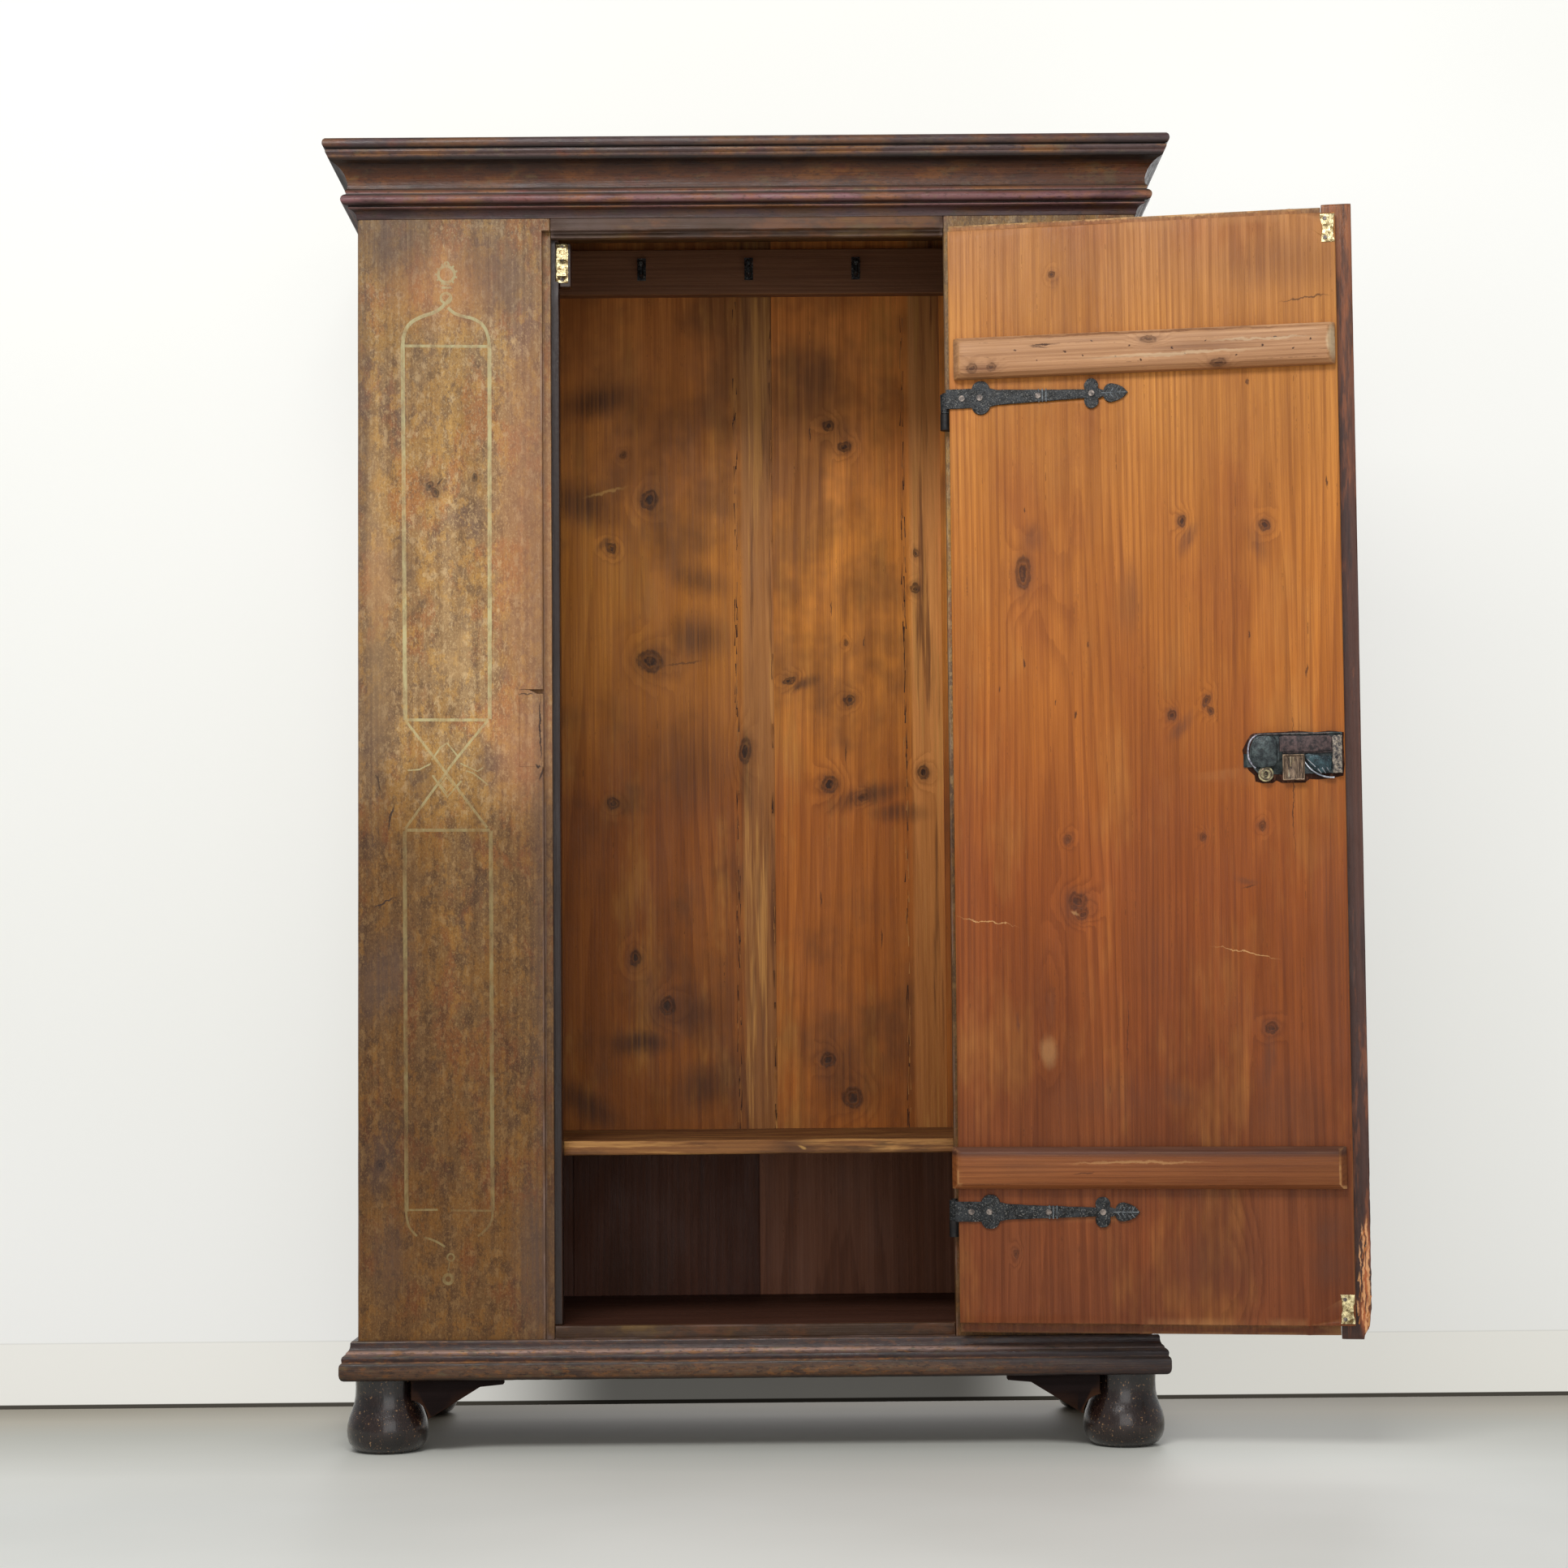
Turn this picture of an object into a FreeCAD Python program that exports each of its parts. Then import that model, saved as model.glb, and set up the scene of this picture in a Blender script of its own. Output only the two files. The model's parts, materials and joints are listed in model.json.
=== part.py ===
"""Single-door wardrobe cupboard on bun feet, standing open: carcass, plinth, cornice, door and ironwork.

World frame: +X to the right as one faces the front, +Y into the cupboard, +Z up, floor at zero.
The carcass is drawn about its own centre line with its front face at y = 0. The door is drawn
about its hinge pin, in the closed position, and turned open by its placement.
"""
import FreeCAD, Part
import os
import re
import Sketcher

VECTOR = FreeCAD.Vector
doc = FreeCAD.newDocument("Cupboard")
sheet = doc.addObject("Spreadsheet::Sheet", "Sizes")

# Driving dimensions, in millimetres and degrees
SIZES = {
    # Carcass
    "carcass_width": 1070,
    "carcass_depth": 465,
    "side_board": 22,
    "front_board": 24,
    "floor_board": 18,
    "top_board": 18,
    "shelf_board": 20,
    "shelf_setback": 24,
    "lower_room": 227.5,
    "cleat_height": 22,
    "cleat_width": 20,
    "foot_height": 99,
    "plinth_height": 52.5,
    "front_height": 1529,
    "cornice_height": 104,
    "cut_overrun": 5,
    "seat_gap": 0.3,
    # Front frame round the doorway
    "stile_share": 0.2472,
    "rebate_width": 11.5,
    "rebate_depth": 12,
    "head_margin": 16.5,
    "head_rebate": 7.5,
    "sill_rebate": 16,
    "patch_width": 33,
    "patch_height": 106,
    "patch_depth": 10,
    "patch_rise_share": 0.5056,
    "patch_gap": 0.3,
    # Stop batten behind the left stile, with the packing block of the ball catch
    "stop_width": 40,
    "stop_reach": 10,
    "stop_thickness": 30,
    "catch_block_width": 16.5,
    "catch_block_drop": 0.5,
    "catch_block_height": 62,
    # Back
    "back_board": 14,
    "back_gap": 0.6,
    "back_bevel": 54,
    "back_bevel_fall": 6,
    "back_first_share": 0.2196,
    "back_second_share": 0.3121,
    "back_third_share": 0.2393,
    "lower_first_share": 0.2449,
    "lower_second_share": 0.2607,
    "lower_third_share": 0.2299,
    "hook_rail_height": 70,
    "hook_rail_thickness": 20,
    "hook_rail_drop": 15.5,
    # Coat hooks
    "hook_pitch_share": 0.1523,
    "hook_plate_width": 13,
    "hook_plate_height": 34,
    "hook_plate_thickness": 2.5,
    "hook_plate_drop": 14,
    "hook_rod": 3,
    "hook_reach": 26,
    "hook_rise": 15,
    "hook_knob": 5.5,
    # Cornice, reaches out from the carcass and heights downwards
    "thumb_reach": 43.3,
    "thumb_set": 3.3,
    "thumb_height": 15,
    "fillet_reach": 38.6,
    "fillet_height": 7,
    "bevel_reach": 33.9,
    "bevel_height": 8,
    "cove_reach": 12.4,
    "cove_height": 34,
    "band_reach": 14.8,
    "band_step": 2.5,
    "band_height": 6,
    "bead_set": 15.3,
    "bead_height": 15,
    "neck_reach": 10.6,
    "neck_height": 3.5,
    "foot_cove_reach": 1.2,
    "quarter_bulge_share": 0.2071,
    "cove_bulge_share": 0.18,
    "bead_bulge_share": 0.4,
    # Plinth moulding
    "plinth_reach": 17.5,
    "plinth_lip_reach": 8.3,
    "plinth_lip_round": 2.6,
    "plinth_lip_height": 12,
    "plinth_cyma_height": 15,
    "plinth_foot_round": 6,
    # Bun feet
    "foot_radius": 55,
    "foot_sole_radius": 32,
    "foot_ball_share": 0.7172,
    "foot_ball_bulge_share": 0.306,
    "foot_neck_radius": 31.5,
    "foot_neck_step": 3,
    "foot_collar_radius": 34,
    "foot_inset": 36,
    "foot_spigot_radius": 11,
    "foot_spigot_length": 36,
    "spigot_fit": 0.05,
    "foot_block_size": 84,
    # Scribed brackets beside the front feet
    "bracket_thickness": 20,
    "bracket_forward": 6,
    "bracket_reach": 160.5,
    "bracket_tail": 7,
    "bracket_knee_reach": 129,
    "bracket_knee_drop": 10,
    "bracket_toe_reach": 58.5,
    "bracket_toe_drop": 53,
    "bracket_neck_reach": 36,
    "bracket_neck_drop": 27,
    "bracket_bulge_share": 0.2,
    # Door leaf
    "door_open": 170.35,
    "axis_inset": 0.5,
    "axis_standoff": 7.5,
    "hinge_gap": 9,
    "latch_gap": 12,
    "leaf_thickness": 25,
    "leaf_foot_gap": 4.5,
    "leaf_head_gap": 8,
    "lip_foot_gap": 7,
    "lip_head_gap": 5,
    "leaf_first_share": 0.5184,
    "leaf_third": 59,
    "leaf_joint": 0.4,
    "strip_width": 40,
    "strip_reach": 21.5,
    "strip_foot_gap": 2,
    "strip_head_gap": 1.5,
    # Ledges across the inner face
    "ledge_height": 55.5,
    "ledge_thickness": 20,
    "ledge_bevel": 7,
    "ledge_end_bevel": 13,
    "upper_ledge_start": 7,
    "upper_ledge_margin": 3,
    "upper_ledge_share": 0.8306,
    "lower_ledge_start": -7,
    "lower_ledge_margin": 8,
    "lower_ledge_share": 0.1171,
    # Strap hinges
    "strap_thickness": 4,
    "tab_half": 13.5,
    "tab_length": 31,
    "head_end": 56,
    "head_half": 13,
    "head_bulge_share": 0.4,
    "bar_start": 66,
    "bar_start_half": 10.5,
    "bar_end": 184,
    "bar_end_half": 6,
    "cross_end": 202,
    "cross_half": 7,
    "cross_bulge_share": 0.78,
    "leaf_root": 209,
    "leaf_root_half": 4.5,
    "leaf_broad": 223,
    "leaf_broad_half": 12,
    "leaf_root_bulge_share": 0.25,
    "leaf_side_bulge_share": 0.09,
    "leaf_tip": 242.5,
    "knuckle_radius": 7.2,
    "pin_radius": 4,
    "pin_fit": 0.05,
    "upper_hinge_share": 0.8185,
    "lower_hinge_share": 0.1014,
    "screw_radius": 4,
    "screw_head": 1.4,
    "screw_shank": 1.7,
    "screw_length": 15,
    "screw_fit": 0.05,
    "tab_screw": 18,
    "head_screw": 42,
    "bar_screw": 121,
    "cross_screw": 193,
    # Pintles on the right stile
    "pintle_drop": 22,
    "pintle_plate_thickness": 3,
    "pintle_plate_width": 46,
    "pintle_arm_reach": 15,
    "pintle_pin_top": 2,
    "pintle_screw_near": 22,
    "pintle_screw_far": 38,
    # Ball catch
    "catch_height": 54,
    "catch_width": 16,
    "catch_plate": 1.2,
    "catch_clear": 2.6,
    "catch_housing_width": 12,
    "catch_housing_height": 16,
    "catch_housing_depth": 9,
    "catch_housing_wall": 1.4,
    "catch_gap": 7,
    "catch_drop": 2.5,
    "catch_set": 4,
    "catch_screw_set": 22.5,
    "small_screw_radius": 2.6,
    "small_screw_shank": 1.1,
    "small_screw_length": 10,
    "ball_radius": 3.4,
    "ball_fit": 0.1,
    "ball_stand": 1.7,
    "spring_radius": 2.6,
    "spring_wall": 0.7,
    # Strikes on the door
    "strike_width": 19.5,
    "strike_height": 38,
    "strike_thickness": 1.2,
    "strike_edge_set": 0.5,
    "tongue_width": 6,
    "tongue_half": 1.3,
    "tongue_head_half": 2.1,
    "tongue_length": 8.6,
    "tongue_head": 1.8,
    "lower_strike_rise": 22,
    "strike_screw_set": 13,
    "strike_screw_reach": 13.2,
    # Rim lock on the inner face
    "lock_edge_set": 4,
    "lock_length": 121,
    "lock_end_set": 12,
    "lock_height": 54,
    "lock_rise_share": 0.4876,
    "lock_plate": 2.4,
    "lock_depth": 10,
    "lock_wall": 2,
    "lock_end_bulge_share": 0.22,
    "lock_tail_reach": 20,
    "lock_tail_rise": 10,
    "lock_tail_height": 18,
    "bolt_height": 22,
    "bolt_thickness": 5,
    "bolt_length": 77,
    "bolt_throw": 14,
    "bolt_drop": 5,
    "bolt_clear": 0.4,
    "tumbler_start": 3,
    "tumbler_toe": 13,
    "tumbler_end": 27,
    "tumbler_height": 40,
    "tumbler_side": 33,
    "tumbler_thickness": 3,
    "tumbler_bulge_share": 0.26,
    "staple_set": 31,
    "staple_width": 29,
    "staple_height": 34.5,
    "staple_depth": 11,
    "staple_drop": 9,
    "staple_wall": 2,
    "key_pin_set": 9,
    "key_pin_radius": 10,
    "key_pin_height": 8,
    "key_pin_hole": 3,
    "lock_spring_thickness": 2,
    "lock_spring_depth": 6,
    "lock_spring_length": 38,
    "lock_spring_root_rise": 16,
    "lock_spring_tip_drop": 5,
    "lock_spring_bulge_share": 0.14,
    "rivet_radius": 2.3,
    "rivet_height": 1.4,
    "rivet_set": 5.5,
    "rivet_low": 10.5,
    "rivet_high": 23,
    # Keyhole plate on the outer face
    "scutcheon_width": 30,
    "scutcheon_height": 30,
    "scutcheon_thickness": 1.5,
    "scutcheon_bulge_share": 0.3,
    "keyhole_radius": 4,
    "keyhole_slot": 3.6,
    "keyhole_length": 13,
}

# Places and sizes that follow from the driving ones
FOLLOWING = {
    "half_width": "carcass_width / 2",
    "plinth_top": "foot_height + plinth_height",
    "front_top": "plinth_top + front_height",
    "crown": "front_top + cornice_height",
    "jamb": "half_width - stile_share * carcass_width",
    "rebate_top": "front_top - head_margin",
    "clear_top": "rebate_top - head_rebate",
    "sill_top": "plinth_top + sill_rebate",
    "floor_bottom": "sill_top - floor_board",
    "ceiling": "crown - top_board",
    "shelf_bottom": "sill_top + lower_room",
    "shelf_top": "shelf_bottom + shelf_board",
    "back_face": "carcass_depth + back_board",
    "stop_face": "stop_reach - jamb",
    "catch_back": "front_board + catch_clear + catch_housing_depth + catch_plate",
    "catch_x": "stop_face + catch_set",
    "catch_z": "clear_top - catch_drop - catch_height / 2",
    "rail_top": "ceiling - hook_rail_drop",
    "rail_bottom": "rail_top - hook_rail_height",
    "patch_bottom": "plinth_top + patch_rise_share * front_height",
    "axis_x": "jamb - axis_inset",
    "edge": "axis_inset - hinge_gap",
    "leaf_front": "axis_standoff",
    "leaf_back": "axis_standoff + leaf_thickness",
    "leaf_width": "2 * jamb - hinge_gap - latch_gap",
    "free_edge": "edge - leaf_width",
    "first_joint": "edge - leaf_first_share * (leaf_width - leaf_third)",
    "second_joint": "free_edge + leaf_third",
    "lip_back": "leaf_front + rebate_depth - seat_gap",
    "leaf_bottom": "sill_top + leaf_foot_gap",
    "leaf_top": "clear_top - leaf_head_gap",
    "lip_bottom": "plinth_top + lip_foot_gap",
    "lip_top": "rebate_top - lip_head_gap",
    "strip_outer": "free_edge - strip_reach",
    "strip_inner": "strip_outer + strip_width",
    "lock_outer": "free_edge + lock_edge_set",
    "lock_inner": "lock_outer + lock_length",
    "lock_bottom": "plinth_top + lock_rise_share * front_height",
    "lock_flat_end": "lock_inner - lock_end_set",
    "lock_top": "lock_bottom + lock_height",
    "bolt_top": "lock_top - bolt_drop",
    "bolt_back": "leaf_back + lock_plate + bolt_clear",
    "bolt_end": "lock_outer + bolt_clear",
    "lock_face": "leaf_back + lock_plate",
    "staple_inner": "lock_flat_end - staple_set",
    "staple_outer": "staple_inner - staple_width",
    "staple_bottom": "lock_bottom - staple_drop",
    "keyhole_x": "(staple_inner + staple_outer) / 2",
    "keyhole_z": "staple_bottom + staple_height / 2",
    "catch_bore": "catch_gap + 2 * (catch_housing_height - catch_housing_wall)",
    "strap_face": "leaf_back + strap_thickness",
    "strike_face": "leaf_back + strike_thickness",
    "strike_x": "free_edge + strike_edge_set + strike_screw_reach",
    "lower_strike_z": "leaf_bottom + lower_strike_rise",
    "upper_hinge_z": "plinth_top + upper_hinge_share * front_height + tab_half",
    "lower_hinge_z": "plinth_top + lower_hinge_share * front_height + tab_half",
    "upper_pintle_top": "upper_hinge_z - tab_half - seat_gap",
    "lower_pintle_top": "lower_hinge_z - tab_half - seat_gap",
    "left_most": "-half_width - thumb_reach",
    "right_most": "axis_x + strip_outer * cos(door_open * 1 deg) - leaf_front * sin(door_open * 1 deg)",
    "ledge_front": "leaf_back + ledge_thickness",
    "front_most": "-axis_standoff + (free_edge + upper_ledge_margin + ledge_end_bevel) * sin(door_open * 1 deg)"
                  " + ledge_front * cos(door_open * 1 deg)",
    "shift_x": "-(left_most + right_most) / 2",
    "shift_y": "-(front_most + back_face) / 2",
}


def fill_sheet():
    """Write the driving numbers, then the formulas that follow from them."""
    row = 0
    for name, number in SIZES.items():
        row += 1
        sheet.set(f"A{row}", name)
        sheet.set(f"B{row}", str(number))
        sheet.setAlias(f"B{row}", name)
    for name, formula in FOLLOWING.items():
        row += 1
        sheet.set(f"A{row}", name)
        sheet.set(f"B{row}", f"={formula}")
        sheet.setAlias(f"B{row}", name)
    doc.recompute()


fill_sheet()
ALIASES = set(SIZES) | set(FOLLOWING)
WORD = re.compile(r"[a-z_][a-z0-9_]*")
PIECES = {}


def bound(formula):
    """The formula with each size's name pointing at its cell."""
    return WORD.sub(lambda found: f"Sizes.{found[0]}" if found[0] in ALIASES else found[0], formula)


def value(formula):
    """The formula's present number."""
    return float(sheet.evalExpression(bound(formula)))


def bind(thing, **formulas):
    """Bind properties to formulas. Base_x and the like mean the placement's base."""
    for prop, formula in formulas.items():
        path = f"Placement.Base.{prop[-1]}" if prop.startswith("Base_") else prop
        thing.setExpression(path, bound(formula))


def settle(thing, label, on_door=False, at=("0", "0", "0")):
    """Name a sub-part and give it its own placement, turned open if it hangs on the door."""
    thing.Label = label
    PIECES[label] = thing
    if on_door:
        thing.Placement = FreeCAD.Placement(VECTOR(), FreeCAD.Rotation(VECTOR(0, 0, 1), value("door_open")))
        bind(thing, Base_x="shift_x + axis_x", Base_y="shift_y - axis_standoff")
        thing.setExpression("Placement.Rotation.Angle", bound("door_open"))
    else:
        bind(thing, Base_x=f"shift_x + {at[0]}", Base_y=f"shift_y + {at[1]}", Base_z=at[2])


def new_body(label, on_door=False, at=("0", "0", "0")):
    body = doc.addObject("PartDesign::Body", label)
    settle(body, label, on_door, at)
    return body


def loose_body(name):
    """A body that becomes a member of a group, which places it."""
    return doc.addObject("PartDesign::Body", name)


def block(body, name, x, y, z, cut=False):
    """A box between the low and high formulas of each axis, added to the body or cut from it."""
    kind = "PartDesign::SubtractiveBox" if cut else "PartDesign::AdditiveBox"
    box = body.newObject(kind, f"{body.Name}_{name}")
    for prop, axis, (low, high) in (("Length", "x", x), ("Width", "y", y), ("Height", "z", z)):
        box.setExpression(prop, bound(f"({high}) - ({low})"))
        box.setExpression(f"Placement.Base.{axis}", bound(low))
    return box


TURNS = {"X": (VECTOR(0, 1, 0), 90), "Y": (VECTOR(1, 0, 0), -90), "Z": (VECTOR(0, 0, 1), 0)}


def rod(body, name, along, radius, base, length, cut=False):
    """A round bar from its base point along one axis, added to the body or cut from it."""
    kind = "PartDesign::SubtractiveCylinder" if cut else "PartDesign::AdditiveCylinder"
    bar = body.newObject(kind, f"{body.Name}_{name}")
    bar.Placement = FreeCAD.Placement(VECTOR(), FreeCAD.Rotation(*TURNS[along]))
    bar.setExpression("Radius", bound(radius))
    bar.setExpression("Height", bound(length))
    for axis, formula in zip("xyz", base):
        bar.setExpression(f"Placement.Base.{axis}", bound(formula))
    return bar


def plane_of(body, role):
    return next(feature for feature in body.Origin.OriginFeatures if feature.Role == role)


def outline(body, name, plane, points):
    """A closed sketch on one of the body's own planes. Each point is (across, up) or, at the end
    of an arc, (across, up, bulge): the arc's rise over its chord, positive to the right of travel."""
    sketch = body.newObject("Sketcher::SketchObject", f"{body.Name}_{name}_sketch")
    sketch.AttachmentSupport = [(plane_of(body, plane), "")]
    sketch.MapMode = "FlatFace"
    corners = [VECTOR(value(point[0]), value(point[1]), 0) for point in points]
    count = len(points)
    for index, start in enumerate(corners):
        end = corners[(index + 1) % count]
        bulge = points[(index + 1) % count][2:]
        if bulge:
            share = value(bulge[0])
            chord = end - start
            middle = (start + end) * 0.5 + VECTOR(chord.y, -chord.x, 0) * share
            sketch.addGeometry(Part.Arc(start, middle, end), False)
        else:
            sketch.addGeometry(Part.LineSegment(start, end), False)
    ends = [nearer_end(sketch, index, corners[index]) for index in range(count)]
    for index, point in enumerate(points):
        before = (index - 1) % count
        sketch.addConstraint(Sketcher.Constraint("Coincident", before, 3 - ends[before], index, ends[index]))
        for kind, formula, key in (("DistanceX", point[0], "across"), ("DistanceY", point[1], "up")):
            rule = Sketcher.Constraint(kind, -1, 1, index, ends[index], value(formula))
            sketch.renameConstraint(sketch.addConstraint(rule), f"{key}_{index}")
            sketch.setExpression(f"Constraints.{key}_{index}", bound(formula))
        if point[2:]:
            start = points[before]
            share = f"abs({point[2]})"
            chord = f"hypot({point[0]} - ({start[0]}); {point[1]} - ({start[1]}))"
            formula = f"{chord} * (1 / (8 * {share}) + {share} / 2)"
            rule = Sketcher.Constraint("Radius", before, value(formula))
            sketch.renameConstraint(sketch.addConstraint(rule), f"radius_{index}")
            sketch.setExpression(f"Constraints.radius_{index}", bound(formula))
    return sketch


def nearer_end(sketch, index, corner):
    """Which end of a sketched edge lies on the corner: 1 for its start, 2 for its end."""
    first = sketch.getPoint(index, 1).distanceToPoint(corner)
    last = sketch.getPoint(index, 2).distanceToPoint(corner)
    return 1 if first <= last else 2


def prism(body, name, plane, low, high, points, cut=False):
    """Extrude an outline between two levels along its plane's axis, as a pad or as a pocket."""
    sketch = outline(body, name, plane, points)
    start = f"-({high})" if plane == "XZ_Plane" else low
    sketch.setExpression("AttachmentOffset.Base.z", bound(start))
    feature = body.newObject("PartDesign::Pocket" if cut else "PartDesign::Pad", f"{body.Name}_{name}")
    feature.Profile = sketch
    feature.Reversed = cut
    feature.setExpression("Length", bound(f"({high}) - ({low})"))
    return feature


def turned(body, name, points):
    """Turn an outline of (radius, height) points a full circle about the body's upright axis."""
    sketch = outline(body, name, "XZ_Plane", points)
    feature = body.newObject("PartDesign::Revolution", f"{body.Name}_{name}")
    feature.Profile = sketch
    feature.ReferenceAxis = (sketch, ["V_Axis"])
    feature.Angle = 360
    return feature


def group(label, members, on_door=False):
    """Like pieces of one kind, kept together as one sub-part."""
    bundle = doc.addObject("Part::Compound", label)
    bundle.Links = members
    settle(bundle, label, on_door)
    return bundle


def loose_box(name, x, y, z):
    box = doc.addObject("Part::Box", name)
    for prop, axis, (low, high) in (("Length", "x", x), ("Width", "y", y), ("Height", "z", z)):
        box.setExpression(prop, bound(f"({high}) - ({low})"))
        box.setExpression(f"Placement.Base.{axis}", bound(low))
    return box


def loose_rod(name, along, radius, base, length):
    bar = doc.addObject("Part::Cylinder", name)
    bar.Placement = FreeCAD.Placement(VECTOR(), FreeCAD.Rotation(*TURNS[along]))
    bar.setExpression("Radius", bound(radius))
    bar.setExpression("Height", bound(length))
    for axis, formula in zip("xyz", base):
        bar.setExpression(f"Placement.Base.{axis}", bound(formula))
    return bar


def loose_ball(name, radius, centre):
    ball = doc.addObject("Part::Sphere", name)
    ball.setExpression("Radius", bound(radius))
    for axis, formula in zip("xyz", centre):
        ball.setExpression(f"Placement.Base.{axis}", bound(formula))
    return ball


def joined(name, shapes):
    fuse = doc.addObject("Part::MultiFuse", name)
    fuse.Shapes = shapes
    return fuse


# Screws: the name, where along the strap or plate, and the height of each

PINTLE_SCREWS = [
    (f"{hinge}_pintle_{spot}", f"pintle_screw_{spot}", f"{hinge}_pintle_top - pintle_drop / 2")
    for hinge in ("upper", "lower") for spot in ("near", "far")
]
HINGE_SCREWS = [
    (f"{hinge}_strap_{spot}", f"edge - {spot}_screw", f"{hinge}_hinge_z")
    for hinge in ("upper", "lower") for spot in ("tab", "head", "bar", "cross")
]
STRIKE_SCREWS = [
    (f"{strike}_strike_{spot}", f"{centre} + {hand} * strike_screw_set")
    for strike, centre in (("upper", "catch_z"), ("lower", "lower_strike_z"))
    for spot, hand in (("high", "1"), ("low", "-1"))
]


def pilot(body, name, kind, base, into):
    """Bore a screw's hole along Y, from the face at base inwards."""
    reach = f"{kind}_length + cut_overrun"
    start = f"{base[1]} - {kind}_length" if into == "-1" else f"{base[1]} - cut_overrun"
    rod(body, f"{name}_pilot", "Y", f"{kind}_shank + screw_fit", (base[0], start, base[2]), reach, cut=True)


def screw(name, kind, base, into):
    """A screw along Y: its flat head stands on the face at base and its shank runs inwards."""
    head_y = base[1] if into == "-1" else f"{base[1]} - screw_head"
    shank_y = f"{base[1]} - {kind}_length" if into == "-1" else base[1]
    head = loose_rod(f"{name}_head", "Y", f"{kind}_radius", (base[0], head_y, base[2]), "screw_head")
    shank = loose_rod(f"{name}_stem", "Y", f"{kind}_shank", (base[0], shank_y, base[2]), f"{kind}_length")
    return joined(name, [head, shank])


# Carcass boards

def make_carcass():
    upright = ("foot_height", "ceiling")
    between = ("front_board", "carcass_depth")
    block(new_body("left_side"), "board", ("-half_width", "side_board - half_width"), between, upright)
    block(new_body("right_side"), "board", ("half_width - side_board", "half_width"), between, upright)
    inside = ("side_board - half_width", "half_width - side_board")
    block(new_body("cabinet_floor"), "board", inside, between, ("floor_bottom", "sill_top"))
    block(new_body("cabinet_top"), "board", ("-half_width", "half_width"), ("0", "carcass_depth"),
          ("ceiling", "crown"))
    shelf = new_body("shelf")
    block(shelf, "board", inside, ("front_board + shelf_setback", "carcass_depth"),
          ("shelf_bottom", "shelf_top"))
    notch_back = "front_board + stop_thickness + seat_gap"
    block(shelf, "stop_notch", ("side_board - half_width - cut_overrun", "stop_face + seat_gap"),
          ("front_board", notch_back), ("shelf_bottom - cut_overrun", "shelf_top + cut_overrun"), cut=True)
    cleats = []
    for side, x in (("left", ("side_board - half_width", "side_board - half_width + cleat_width")),
                    ("right", ("half_width - side_board - cleat_width", "half_width - side_board"))):
        cleats.append(loose_body(f"{side}_cleat"))
        block(cleats[-1], "bar", x, (notch_back, "carcass_depth"),
              ("shelf_bottom - cleat_height", "shelf_bottom"))
    group("shelf_cleats", cleats)


# Frame round the doorway

def make_front():
    upright = ("foot_height", "ceiling")
    thick = ("0", "front_board")
    groove = ("-cut_overrun", "rebate_depth")
    left = new_body("left_stile")
    block(left, "board", ("-half_width", "-jamb"), thick, upright)
    block(left, "rebate", ("-jamb - rebate_width", "cut_overrun - jamb"), groove,
          ("plinth_top", "rebate_top"), cut=True)
    patch = ("-jamb - rebate_width - patch_width", "-jamb - rebate_width")
    patch_z = ("patch_bottom", "patch_bottom + patch_height")
    block(left, "patch_seat", (patch[0], f"{patch[1]} + cut_overrun"), ("-cut_overrun", "patch_depth"),
          patch_z, cut=True)
    block(new_body("stile_patch"), "plug", (f"{patch[0]} + patch_gap", patch[1]), ("0", "patch_depth"),
          (f"{patch_z[0]} + patch_gap", f"{patch_z[1]} - patch_gap"))
    right = new_body("right_stile")
    block(right, "board", ("jamb", "half_width"), thick, upright)
    for name, x, z in PINTLE_SCREWS:
        pilot(right, name, "screw", (f"axis_x + {x}", "0", z), "1")
    rails = (
        ("head_rail", ("clear_top", "ceiling"), ("clear_top - cut_overrun", "rebate_top")),
        ("sill_rail", ("foot_height", "sill_top"), ("plinth_top", "sill_top + cut_overrun")),
    )
    for label, span, step in rails:
        rail = new_body(label)
        block(rail, "board", ("-jamb", "jamb"), thick, span)
        block(rail, "rebate", ("-jamb - cut_overrun", "jamb + cut_overrun"), groove, step, cut=True)


# Stop batten with the catch's packing block

def make_stop():
    stop = new_body("stop_batten")
    depth = ("front_board", "front_board + stop_thickness")
    block(stop, "batten", ("stop_face - stop_width", "stop_face"), depth, ("sill_top", "ceiling"))
    block(stop, "catch_seat", ("catch_x - catch_width / 2 - seat_gap", "stop_face + cut_overrun"),
          ("front_board - cut_overrun", "catch_back"),
          ("catch_z - catch_height / 2 - seat_gap", "catch_z + catch_height / 2 + seat_gap"), cut=True)
    bolt_y = "bolt_back - axis_standoff"
    block(stop, "bolt_mortise", ("axis_x + bolt_end - bolt_throw - 2 * bolt_clear", "stop_face + cut_overrun"),
          (f"{bolt_y} - 2 * bolt_clear", f"{bolt_y} + bolt_thickness + 2 * bolt_clear"),
          ("bolt_top - bolt_height - 2 * bolt_clear", "bolt_top + 2 * bolt_clear"), cut=True)
    packing = new_body("catch_block")
    block(packing, "packing", ("stop_face", "stop_face + catch_block_width"),
          ("catch_back", "front_board + stop_thickness"),
          ("clear_top - catch_block_drop - catch_block_height", "clear_top - catch_block_drop"))
    for name, hand in (("upper", "1"), ("lower", "-1")):
        pilot(packing, name, "small_screw", ("catch_x", "catch_back", f"catch_z + {hand} * catch_screw_set"),
              "1")


# Back boards, each planed down along its right edge, in two rows that meet behind the shelf

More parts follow.
